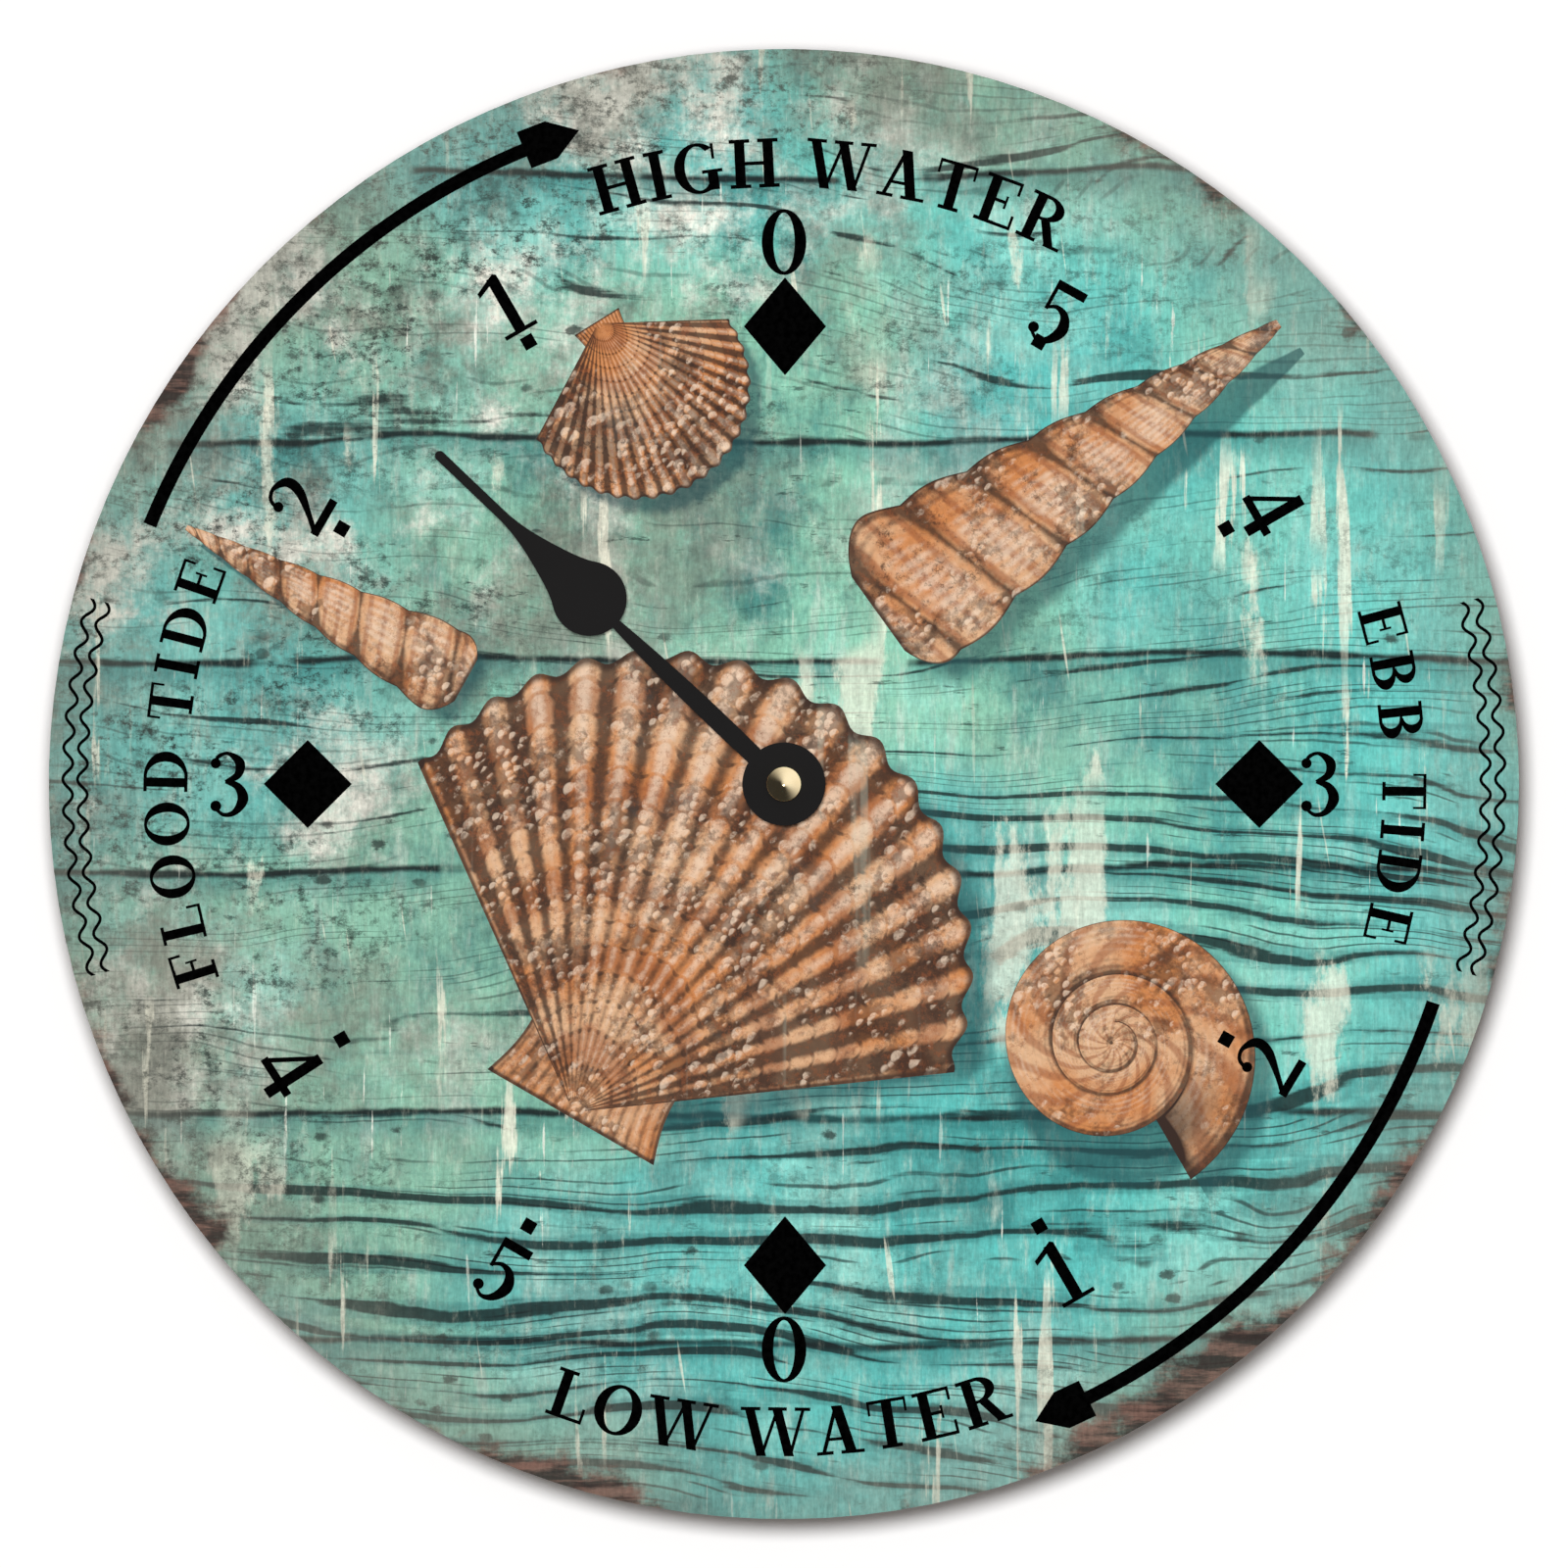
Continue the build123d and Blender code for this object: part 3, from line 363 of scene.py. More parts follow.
camera = {"lens": 800, "sensor": 36}
bpy.ops.object.select_all(action="DESELECT")
lensData = bpy.data.cameras.new("view")
lensData.lens = camera["lens"]
lensData.sensor_width = camera["sensor"]
viewer = bpy.data.objects.new("view", lensData)
bpy.context.collection.objects.link(viewer)
distance = pixel * framePixels * camera["lens"] / camera["sensor"]
viewer.location = (dialCentre.x, filmLow.y - distance, dialCentre.z)
viewer.rotation_euler = (math.radians(90), 0, 0)
bpy.context.scene.camera = viewer

# Light: even white from all round, a soft round lamp from the upper left and a sun behind

studio = {
    "skyDiffuse": .22,
    "front": 2.45,                 # light that falls on the dial
    "frontAway": (-.034, .063),    # sideways and up, for each unit towards the viewer
    "frontFar": 2.4,
    "frontSize": .42,
    "rear": 2.7,
    "rearAngle": 20,
    "rearTowards": (.35, 1, .6),
}


def makeLamp(name, kind, strength, towards, far=0):
    lamp = bpy.data.lights.new(name, kind)
    lamp.energy = strength
    holder = bpy.data.objects.new(name, lamp)
    away = Vector(towards).normalized()
    holder.location = dialCentre + away * far
    holder.rotation_euler = away.to_track_quat("Z", "Y").to_euler()
    bpy.context.collection.objects.link(holder)
    return lamp


side, up = studio["frontAway"]
frontPower = studio["front"] * math.pi * studio["frontFar"] ** 2
frontLamp = makeLamp("frontLamp", "AREA", frontPower, (side, -1, up), studio["frontFar"])
frontLamp.shape = "DISK"
frontLamp.size = studio["frontSize"]
rearLamp = makeLamp("rearLamp", "SUN", studio["rear"], studio["rearTowards"])
rearLamp.angle = math.radians(studio["rearAngle"])

world = bpy.data.worlds.new("studio")
bpy.context.scene.world = world
world.use_nodes = True
sky = world.node_tree
background = sky.nodes["Background"]
rays = nodeOf(sky, "LightPath").outputs
lookX, _, lookZ = partsOf(Wire(nodeOf(sky, "TexCoord").outputs["Generated"]))
glow = rise(lookX * .75 + lookZ * .65, -.45, .8)
cameraRay, glossyRay = Wire(rays["Is Camera Ray"]), Wire(rays["Is Glossy Ray"])
shine = glossyRay * (.04 + glow * 1.3)
plain = maths("MAXIMUM", 1 - cameraRay - glossyRay, 0) * studio["skyDiffuse"]
plug(cameraRay + shine + plain, background.inputs["Strength"])
background.inputs["Color"].default_value = (1, 1, 1, 1)

# Wall: white, only in front of it, and only to the camera, so the back is lit as well

wall = {"side": .8, "gap": .0006, "lit": (1.1, 1.1, 1.1, 1)}
bpy.ops.mesh.primitive_plane_add(size=wall["side"])
wallPiece = bpy.context.object
wallPiece.name = "wall"
bpy.ops.object.mode_set(mode="EDIT")
bpy.ops.transform.rotate(value=math.radians(-90), orient_axis="X", center_override=(0, 0, 0))
bpy.ops.transform.translate(value=(0, wall["gap"], 0))
bpy.ops.object.mode_set(mode="OBJECT")


def wallMaterial():
    material = bpy.data.materials.new("whiteWall")
    material.use_nodes = True
    tree = material.node_tree
    tree.nodes.clear()
    rays = nodeOf(tree, "LightPath").outputs
    matte = nodeOf(tree, "BsdfDiffuse", wall["lit"])
    # the rear lamp lights the back of the board, but the wall's shadow gets none of it
    bounced = maths("GREATER_THAN", Wire(rays["Diffuse Depth"]), .5)
    clear = nodeOf(tree, "BsdfTransparent", 1 - bounced * Wire(rays["Is Shadow Ray"]))
    front = 1 - Wire(nodeOf(tree, "NewGeometry").outputs["Backfacing"])
    seen = front * Wire(rays["Is Camera Ray"])
    chosen = nodeOf(tree, "MixShader", seen, Wire(clear.outputs[0]), Wire(matte.outputs[0]))
    nodeOf(tree, "OutputMaterial", Wire(chosen.outputs[0]))
    return material


wallPiece.data.materials.append(wallMaterial())
bpy.context.scene.view_settings.view_transform = "Standard"
print("camera, lamps and wall placed")

# Thin printed layers on the film

layerStep = .0000025
printed = []


def pieceOf(name, mesh):
    # new piece, active and selected alone
    mesh.name = name
    piece = bpy.data.objects.new(name, mesh)
    bpy.context.collection.objects.link(piece)
    bpy.ops.object.select_all(action="DESELECT")
    bpy.context.view_layer.objects.active = piece
    piece.select_set(True)
    return piece


def thicken(reach):
    # draws the active flat piece out along Y
    bpy.ops.object.mode_set(mode="EDIT")
    bpy.ops.mesh.select_all(action="SELECT")
    bpy.ops.mesh.extrude_region_move(TRANSFORM_OT_translate={"value": (0, -reach, 0)})
    bpy.ops.mesh.select_all(action="SELECT")
    bpy.ops.mesh.normals_make_consistent(inside=False)
    bpy.ops.object.mode_set(mode="OBJECT")


def finishLayer(piece, material):
    # gives the active layer on the film its thickness: each is higher than the last
    printed.append(piece.name)
    thicken(layerStep * len(printed))
    piece.data.materials.append(material)
    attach(piece, "root")
    piece.select_set(False)


def printedGrid(name, columns, rows, pointAt, material):
    # grid whose two shares, 0 to 1, are bent to a shape on the dial and kept as its UV map
    bpy.ops.object.select_all(action="DESELECT")
    bpy.ops.mesh.primitive_grid_add(x_subdivisions=columns, y_subdivisions=rows, size=1)
    piece = bpy.context.object
    for vertex in piece.data.vertices:
        x, y = pointAt(vertex.co.x + .5, vertex.co.y + .5)
        vertex.co = dialPoint(x, y)
    piece.name = piece.data.name = name
    finishLayer(piece, material)


def sharesOf(tree):
    return partsOf(Wire(nodeOf(tree, "UVMap").outputs["UV"]))[:2]


def shadowMaterial(name, fadeAcross, fadeAlong):
    # the boards again, darkened, with soft sides
    material, tree, shader = inkedMaterial(name)
    along, across = sharesOf(tree)
    share = rise(across, 0, fadeAcross) * rise(across, 1, 1 - fadeAcross)
    share = share * rise(along, 1, 1 - fadeAlong)
    dark = blendOf(share * .72, boardsColour(tree), paint(26, 74, 78))
    colourTo(shader, dark)
    return material


shellColours = {
    "tan": paint(231, 184, 142),
    "orange": paint(214, 138, 80),
    "rust": paint(156, 86, 48),
    "cream": paint(248, 222, 196),
    "brown": paint(50, 32, 24),
    "slate": paint(74, 82, 80),
    "paint": boards["cream"],
}


def shellSkin(place, relief, bands, darkEdge):
    # colour of a shell from its relief (-1 to 1), its growth bands (0 to 1) and its outline
    mottle = noise(place, 9, 5, shift=4.2, rough=.6)
    skin = blendOf(rise(mottle, .36, .62), shellColours["orange"], shellColours["tan"])
    coats = Coats(shellColours, skin)
    coats.lay(bands * .55, "rust")
    relief = relief + (noise(place, 34, 6, shift=5.6, rough=.75) - .5) * 1.6
    coats.lay(rise(relief, .15, 1.1) * .65, "cream")
    coats.lay(rise(relief, .05, -.9) * .85, "brown")
    # small round grains, pale on the side of the light and dark on the other
    for size, shift in ((44, 9.3), (68, 29.7)):
        grainy = rise(noise(place, 6, 7, shift=shift, rough=.75), .5, .58)
        domes = cells(place, size)
        slope = cells(place, size, shift=(-.14 / size, 0, .14 / size)) - domes
        ball = rise(domes, .52, .42) * grainy
        coats.lay(rise(domes, .4, .5) * grainy * .55, "brown")
        coats.lay(rise(slope, .02, .13) * ball * .6, "cream")
        coats.lay(rise(slope, -.01, -.13) * ball * .6, "brown")
    stipple = rise(noise(place, 95, 5, shift=7.7, rough=.85), .52, .6)
    coats.lay(stipple * .42, "rust")
    # dark pits and slate dust, and paint that ran over the shell
    pits = rise(noise(place, 40, 7, shift=17.1, rough=.82), .52, .64)
    pitted = pits * rise(noise(place, 3.4, 4, shift=13.7), .48, .64)
    coats.lay(pitted * .8, "brown")
    dust = rise(noise(place, 3.1, 8, shift=21.9, rough=.75), .56, .68)
    coats.lay(dust * .55, "slate")
    thin = noise(place, 26, 3, (1, 1, .045), shift=15.1, rough=.6)
    coats.lay(rise(thin, .66, .74) * .2, "paint")
    coats.lay(darkEdge * .85, "brown")
    tooth = noise(place, 150, 2, shift=2.9)
    coats.lay(rise(tooth, .3, .7) * .12, "brown")
    return coats.colour


def printedShell(name, columns, rows, pointAt, skinOf):
    # skinOf gets the place on the dial and the two shares of the grid
    material, tree, shader = inkedMaterial(name + "Skin")
    colourTo(shader, skinOf(dialPlace(tree), *sharesOf(tree)))
    printedGrid(name, columns, rows, pointAt, material)


def castShadow(form, columns, rows, pointAt, fadeAcross, fadeAlong):
    # soft shadow of a shell, moved to its lower right
    def moved(first, second):
        x, y = pointAt(first, second)
        return x + form["shadow"][0], y + form["shadow"][1]

    name = form["name"] + "_shadow"
    printedGrid(name, columns, rows, moved, shadowMaterial(name, fadeAcross, fadeAlong))


def scallopPoint(form, length):
    # place on a fan of ribs: first share across the fan, second share out from the hinge
    def pointAt(across, along):
        turn = (across - .5) * 2 * math.radians(form["spread"])
        reach = 1 - form["droop"] * (1 - math.cos(turn * 1.35))
        reach *= 1 + form["flute"] * math.cos(2 * math.pi * form["ribs"] * across)
        radius = length * reach * (.03 + .97 * along)
        direction = math.radians(form["axis"]) - turn
        x, y = form["hinge"]
        return x + radius * math.cos(direction), y + radius * math.sin(direction)

    return pointAt


def makeScallop(form):
    def earSkin(place, across, along):
        rim = rise(along, .06, .02) + rise(across, .03, .01) + rise(across, .97, .99)
        return shellSkin(place, wave(across * 14) * .5, along * .8, rim)

    def fanSkin(place, across, along):
        ribs = wave(across * form["ribs"])
        wobble = noise(place, 5, shift=2.4)
        bands = rise(wave(along * form["bands"] + wobble * 1.1), .1, .9)
        sideShade = maths("ABSOLUTE", across - .46) * 2
        relief = ribs * (.35 + along * .75) - sideShade * sideShade * .9 + .12
        ledges = rise(wave(along * form["bands"] * 3 + wobble * 2), .8, 1)
        rim = rise(along, .975, .995) + rise(across, .012, .004) + rise(across, .988, .996)
        return shellSkin(place, relief - ledges * .4, bands, rim)

    axis = math.radians(form["axis"])
    out = Vector((math.cos(axis), math.sin(axis)))
    aside = Vector((out.y, -out.x))

    def earPoint(across, along):
        half = form["length"] * form["earShare"]
        half *= 1 - .12 * along - .07 * math.sin(math.pi * along)
        reach = form["length"] * (along * .2 - .012)
        return Vector(form["hinge"]) + out * reach + aside * ((across - .5) * 2 * half)

    # ears beside the hinge, then the fan over them
    printedShell(form["name"] + "_ears", 40, 12, earPoint, earSkin)
    fanPoint = scallopPoint(form, form["length"])
    printedShell(form["name"], form["ribs"] * 12, 60, fanPoint, fanSkin)


def castScallop(form):
    fan = scallopPoint(form, form["length"] * 1.03)
    castShadow(form, 60, 80, lambda along, across: fan(across, along), .06, .07)


scallops = ({
    "name": "print_scallop", "hinge": (-215, -335), "axis": 60, "length": 490,
    "spread": 54, "droop": .3, "flute": .012, "ribs": 17, "bands": 5,
    "shadow": (26, -30), "earShare": .2,
}, {
    "name": "print_cockle", "hinge": (-190, 470), "axis": -58, "length": 190,
    "spread": 60, "droop": .36, "flute": .01, "ribs": 21, "bands": 4,
    "shadow": (14, -16), "earShare": .14,
})


def augerPoint(form):
    # place on a long tapering shell: first share along from the tip, second share across
    tip, mouth = Vector(form["tip"]), Vector(form["mouth"])
    run = mouth - tip
    square = Vector((-run.y, run.x)).normalized()

    def pointAt(along, across):
        whorl = form["whorls"] * (along + .05) ** .62 + (across - .5) * form["slant"]
        swell = 1 + form["bulge"] * abs(math.sin(math.pi * whorl))
        half = form["half"] * (.05 + .95 * along ** .92) * swell
        half *= 1 if along < .9 else math.sqrt(max(0, 1 - ((along - .9) / .1) ** 2 * .75))
        spot = tip + run * along + square * ((across - .5) * 2 * half)
        return spot.x, spot.y

    return pointAt


def makeAuger(form):
    def skin(place, along, across):
        whorl = maths("POWER", along + .05, .62) * form["whorls"]
        whorl = whorl + (across - .5) * form["slant"]
        inWhorl = maths("FRACT", whorl)
        middle = maths("ABSOLUTE", inWhorl - .5) * 2
        barrel = 1 - maths("POWER", maths("ABSOLUTE", across - .62) * 1.75, 2)
        relief = barrel * 1.2 - .42 - maths("POWER", middle, 4) * 1.5
        beads = wave(across * form["beads"]) * rise(middle, .9, .3) * .22
        bands = rise(wave(whorl * 3 + noise(place, 6) * .8), .2, .95)
        rim = rise(across, .02, .006) + rise(across, .98, .994) + rise(along, .985, .997)
        return shellSkin(place, relief + beads, bands, rim)

    printedShell(form["name"], 220, 40, augerPoint(form), skin)


augers = ({
    "name": "print_auger", "tip": (505, 470), "mouth": (95, 175), "half": 88,
    "whorls": 10, "slant": .55, "bulge": .1, "beads": 13, "shadow": (24, -28),
}, {
    "name": "print_small_auger", "tip": (-610, 262), "mouth": (-325, 105), "half": 46,
    "whorls": 9, "slant": .5, "bulge": .1, "beads": 9, "shadow": (16, -18),
})
snailForm = {
    "name": "print_moon_snail", "centre": (335, -265), "radius": 160, "turns": 3.4,
    "shrink": .56, "start": -60, "flames": 46, "shadow": (20, -24),
}


def snailPoint(form, radiusAt, turns):
    # place on a round spiral shell seen from its top: first share along the coil
    def pointAt(along, across):
        turn = math.radians(form["start"]) + along * turns * 2 * math.pi
        radius = radiusAt(along, across)
        x, y = form["centre"]
        return x + radius * math.cos(turn), y + radius * math.sin(turn)

    return pointAt


def makeSnail(form):
    turns = form["turns"]

    def radiusAt(along, across):
        outer = form["radius"] * form["shrink"] ** (along * turns)
        inner = outer * form["shrink"] if along * turns < turns - 1 else 0
        return inner + (outer - inner) * across

    def skin(place, along, across):
        hollow = maths("ABSOLUTE", across - .5) * 2
        lit = wave(along * turns + (form["start"] - 125) / 360) * (across - .5) * 1.5
        relief = lit - maths("POWER", hollow, 4) * .8 + .2
        strands = wave(across * 8 + noise(place, 7, 2) * .4) * .16
        flames = wave(along * form["flames"] + across * 1.2 + noise(place, 7) * 1.4)
        rim = rise(across, .985, .997) * rise(along * turns, 1.02, .98) + rise(along, .006, .001)
        rim = rim + rise(across, .05, .01) * .6 + rise(along, .045, 0) * rise(across, .9, .3)
        return shellSkin(place, relief + strands, rise(flames, .1, .9), rim)

    printedShell(form["name"], 360, 26, snailPoint(form, radiusAt, turns), skin)


def castSnail(form):
    # a soft round shadow
    def radiusAt(turn, across):
        return form["radius"] * (form["shrink"] ** turn * .5 + .5) * (.02 + 1.02 * across) * .97

    castShadow(form, 72, 24, snailPoint(form, radiusAt, 1), .12, .01)


# all shadows first, then the shells, the big scallop over the cockle
for form in scallops:
    castScallop(form)
for form in augers:
    castShadow(form, 90, 30, augerPoint(form), .16, .06)
castSnail(snailForm)
for form in augers:
    makeAuger(form)
for form in reversed(scallops):
    makeScallop(form)
makeSnail(snailForm)
print("shells printed")

# Ink: numbers, words, diamonds, dots and arcs in black

inkMaterial, inkTree, inkShader = newMaterial("blackInk", roughness=.8, specular=0)
inkGrain = rise(noise(dialPlace(inkTree), 120, 2), .3, .7)
colourTo(inkShader, blendOf(inkGrain, paint(1, 1, 1), paint(6, 6, 6)))

# half a thick stroke, half a serif and a thin stroke, as shares of a letter's height
letterStrokes = (.105, .21, .075)


def bar(left, low, right, high):
    return [[(left, low), (right, low), (right, high), (left, high)]]


def slant(footX, footY, topX, topY, width):
    # sloping stroke with level ends
    return [[(footX, footY), (footX + width, footY), (topX + width, topY), (topX, topY)]]


def pillar(middle, head=True):
    # upright thick stroke with serifs
    half, serif, thin = letterStrokes
    strokes = bar(middle - half, 0, middle + half, 1)
    strokes += bar(middle - serif, 0, middle + serif, thin)
    if head:
        strokes += bar(middle - serif, 1 - thin, middle + serif, 1)
    return strokes


def strip(sides):
    # strokes between pairs of side points
    return [[a[0], a[1], b[1], b[0]] for a, b in zip(sides, sides[1:])]


def evenly(start, end, steps):
    return [start + (end - start) * step / steps for step in range(steps + 1)]


def around(middle, degrees, wide, high):
    # point of an ellipse, counted from the right against the clock
    turn = math.radians(degrees)
    return middle[0] + wide * math.cos(turn), middle[1] + high * math.sin(turn)


def ring(middle, outer, inner, start=0, end=360, steps=40):
    # crescent between an outer and an inner ellipse
    turns = evenly(start, end, steps)
    return strip([(around(middle, t, *inner), around(middle, t, *outer)) for t in turns])


def dot(middle, radius):
    return ring(middle, (radius, radius), (0, 0), steps=20)


def ribbon(knots, steps=8):
    # stroke along a smooth line through knots of x, y and width
    path = []
    ends = [knots[0]] + list(knots) + [knots[-1]]
    for before, start, end, after in zip(ends, ends[1:], ends[2:], ends[3:]):
        for step in range(steps):
            s = step / steps
            path.append([
                .5 * (2 * b + (c - a) * s + (2 * a - 5 * b + 4 * c - d) * s * s
                      + (3 * b - a - 3 * c + d) * s ** 3)
                for a, b, c, d in zip(before, start, end, after)
            ])
    path.append(list(knots[-1]))
    sides = []
    for number, (x, y, width) in enumerate(path):
        one, two = path[max(number - 1, 0)], path[min(number + 1, len(path) - 1)]
        heading = Vector((two[0] - one[0], two[1] - one[1])).normalized()
        left = Vector((-heading.y, heading.x)) * (width / 2)
        sides.append(((x + left.x, y + left.y), (x - left.x, y - left.y)))
    return strip(sides)


# each sign: its width, then its strokes, in shares of its height
signShares = {
    "0": (.69, ring((.345, .5), (.345, .51), (.165, .455))),
    "1": (.62, bar(.24, 0, .42, .97) + bar(.05, 0, .61, .065)
          + [[(.02, .77), (.26, .87), (.42, .97), (.37, 1.01), (.02, .85)]]),
    "2": (.69, ribbon(((.1, .76, .06), (.17, .92, .06), (.34, .965, .07), (.53, .83, .15),
                       (.5, .6, .15), (.27, .3, .09), (.05, .06, .08)))
          + dot((.13, .76), .08) + bar(.03, 0, .65, .135)),
    "3": (.69, ribbon(((.1, .82, .05), (.17, .93, .06), (.32, .97, .06), (.49, .83, .15),
                       (.46, .64, .12), (.27, .53, .06)))
          + ribbon(((.27, .54, .06), (.46, .46, .12), (.54, .27, .17), (.42, .07, .1),
                    (.24, .025, .06), (.09, .15, .05)))
          + dot((.12, .82), .08) + dot((.12, .16), .085)),
    "4": (.70, bar(.4, 0, .57, 1) + slant(.01, .28, .44, 1, .085) + bar(.01, .2, .69, .33)),
    "5": (.66, bar(.13, .855, .63, 1) + bar(.13, .5, .19, .9)
          + ribbon(((.15, .52, .05), (.3, .6, .07), (.47, .53, .13), (.54, .32, .18),
                    (.43, .1, .12), (.25, .025, .06), (.09, .14, .05)))
          + dot((.13, .16), .085)),
    "A": (.98, slant(.1, .03, .42, .99, .085) + slant(.6, .03, .36, .99, .22)
          + bar(.24, .28, .68, .345) + bar(0, 0, .34, .07) + bar(.5, 0, .98, .07)),
    "B": (.86, pillar(.24) + ring((.38, .745), (.37, .255), (.17, .185), -90, 90)
          + ring((.38, .27), (.44, .27), (.21, .2), -90, 90) + bar(.2, .475, .42, .54)
          + bar(.2, .93, .4, 1) + bar(.2, 0, .4, .07)),
    "D": (.98, pillar(.24) + ring((.36, .5), (.58, .5), (.35, .43), -90, 90)
          + bar(.2, .93, .38, 1) + bar(.2, 0, .38, .07)),
    "E": (.84, pillar(.24) + bar(.2, .93, .78, 1) + bar(.73, .72, .79, 1) + bar(.2, 0, .8, .07)
          + bar(.76, 0, .82, .3) + bar(.2, .48, .58, .55) + bar(.54, .38, .59, .65)),
    "F": (.8, pillar(.24) + bar(.2, .93, .76, 1) + bar(.71, .72, .77, 1)
          + bar(.2, .48, .56, .55) + bar(.52, .38, .57, .65)),
    "G": (1.02, ring((.5, .5), (.49, .52), (.27, .45), 48, 318) + bar(.68, .03, .89, .42)
          + bar(.57, .38, .99, .45) + bar(.8, .66, .86, .98)),
    "H": (1.02, pillar(.22) + pillar(.8) + bar(.2, .465, .8, .54)),
    "I": (.44, pillar(.22)),
    "L": (.82, pillar(.24) + bar(.2, 0, .78, .07) + bar(.74, 0, .8, .32)),
    "O": (1, ring((.5, .5), (.49, .52), (.27, .45))),
    "R": (.98, pillar(.24) + ring((.4, .735), (.39, .265), (.19, .195), -90, 90)
          + bar(.2, .93, .42, 1) + bar(.2, .47, .44, .535) + slant(.66, .02, .38, .5, .21)
          + bar(.64, 0, .98, .07)),
    "T": (.86, pillar(.43, head=False) + bar(.03, .93, .83, 1) + bar(.03, .7, .08, 1)
          + bar(.78, .7, .83, 1)),
    "W": (1.42, slant(.33, 0, .08, .97, .2) + slant(.4, 0, .72, .97, .07)
          + slant(.9, 0, .64, .97, .2) + slant(.98, 0, 1.24, .97, .07)
          + bar(0, .93, .4, 1) + bar(.56, .93, .94, 1) + bar(1.1, .93, 1.42, 1)),
}


def signFaces(strokes):
    # strokes that cross are cut into one flat sheet
    corners, outlines = [], []
    for stroke in strokes:
        area = sum(a[0] * b[1] - b[0] * a[1] for a, b in zip(stroke, stroke[1:] + stroke[:1]))
        if area < 0:
            stroke = stroke[::-1]
        outlines.append(list(range(len(corners), len(corners) + len(stroke))))
        corners += [Vector(corner) for corner in stroke]
    cut = geometry.delaunay_2d_cdt(corners, [], outlines, 0, 1e-5, True)
    points, _, faces, _, _, sources = cut
    return points, [face for face, source in zip(faces, sources) if source]


class Sheet:
    # flat ink that is gathered sign by sign, then made one piece
    def __init__(self):
        self.points = []
        self.faces = []

    def add(self, strokes, placeAt=lambda x, y: (x, y)):
        points, faces = signFaces(strokes)
        start = len(self.points)
        self.points += [dialPoint(*placeAt(*point)) for point in points]
        self.faces += [[start + corner for corner in face] for face in faces]

    def finish(self, name):
        mesh = bpy.data.meshes.new(name)
        mesh.from_pydata(self.points, [], self.faces)
        finishLayer(pieceOf(name, mesh), inkMaterial)


def signPlace(clockAngle, radius, height, width, turn):
    # puts a sign's shares on the dial, its middle at this radius and its head turned
    centre = clockDirection(clockAngle)[0] * radius
    upward, right = clockDirection(turn)

    def placeAt(x, y):
        spot = centre + right * ((x - width / 2) * height) + upward * ((y - .5) * height)
        return spot.x, spot.y

    return placeAt


# numbers: sign, clock angle, radius of the middle and the sign's own turn
numbers = {"height": 66, "places": (
    ("0", 0, 553, 0), ("0", 180, 577, 0), ("3", -90, 565, 0), ("3", 90, 548, 0),
    ("5", 30, 554, 29), ("4", 60.4, 570, 60), ("2", 120, 571, -59), ("1", 150.3, 573, -30),
    ("5", -149.8, 575, 30), ("4", -119.9, 583, 57), ("2", -59.9, 571, -60),
    ("1", -30.2, 566, -30),
)}
numberSheet = Sheet()
for sign, clockAngle, radius, turn in numbers["places"]:
    width, strokes = signShares[sign]
    numberSheet.add(strokes, signPlace(clockAngle, radius, numbers["height"], width, turn))
numberSheet.finish("ink_numbers")

# words on arcs: text, clock angle and radius of the middle, height and width in degrees,
# which is below zero where the letters' heads are turned to the middle of the dial
words = (
    ("HIGH WATER", 4.6, 634, 50, 45),
    ("LOW WATER", 180.5, 661, 50, -41),
    ("FLOOD TIDE", -89, 631, 45, 40),
    ("EBB TIDE", 89, 633, 45, 32),
)
letterGap = .13
wordGap = .42
wordSheet = Sheet()
for text, middle, radius, height, span in words:
    spots, reach = [], 0
    for letter in text:
        if letter == " ":
            reach += wordGap
            continue
        width = signShares[letter][0]
        spots.append((letter, reach + width / 2, width))
        reach += width + letterGap
    reach -= letterGap
    for letter, spot, width in spots:
        angle = middle + (spot / reach - .5) * span
        turn = angle + 180 if span < 0 else angle
        wordSheet.add(signShares[letter][1], signPlace(angle, radius, height, width, turn))
wordSheet.finish("ink_words")

# diamonds: middle and half sizes
diamonds = ((1, 467, 42, 50), (1, -491, 42, 50), (-486, 0, 45, 45), (485, 0, 45, 45))
diamondSheet = Sheet()
for x, y, wide, high in diamonds:
    diamondSheet.add([[(x + wide, y), (x, y + high), (x - wide, y), (x, y - high)]])
diamondSheet.finish("ink_diamonds")

# square dots beside the numbers
dots = {"side": 13.5, "radius": 521, "angles": (30, 60, 120, 150, -150, -120, -60, -30)}
dotSheet = Sheet()
for clockAngle in dots["angles"]:
    placeAt = signPlace(clockAngle, dots["radius"], dots["side"], 1, clockAngle)
    dotSheet.add(bar(0, 0, 1, 1), placeAt)
dotSheet.finish("ink_dots")

# arcs with arrowheads: tail, head base and tip as clock angles
arcs = {
    "width": 14, "radius": 699, "headHalf": 20, "headShare": .5, "steps": 60,
    "runs": ((-67.8, -22.3, -17.4), (108.6, 153.7, 158.5)),
}
arcSheet = Sheet()


def polar(clockAngle, radius):
    out = clockDirection(clockAngle)[0] * radius
    return out.x, out.y


for tail, base, tip in arcs["runs"]:
    middle, half, headHalf = arcs["radius"], arcs["width"] / 2, arcs["headHalf"]
    strokes = strip([
        (polar(angle, middle - half), polar(angle, middle + half))
        for angle in evenly(tail, base, arcs["steps"])
    ])
    shoulder = base + (tip - base) * arcs["headShare"]
    strokes.append([
        polar(base, middle - headHalf), polar(base, middle + headHalf),
        polar(shoulder, middle + headHalf), polar(tip, middle), polar(shoulder, middle - headHalf),
    ])
    arcSheet.add(strokes)
arcSheet.finish("ink_arcs")

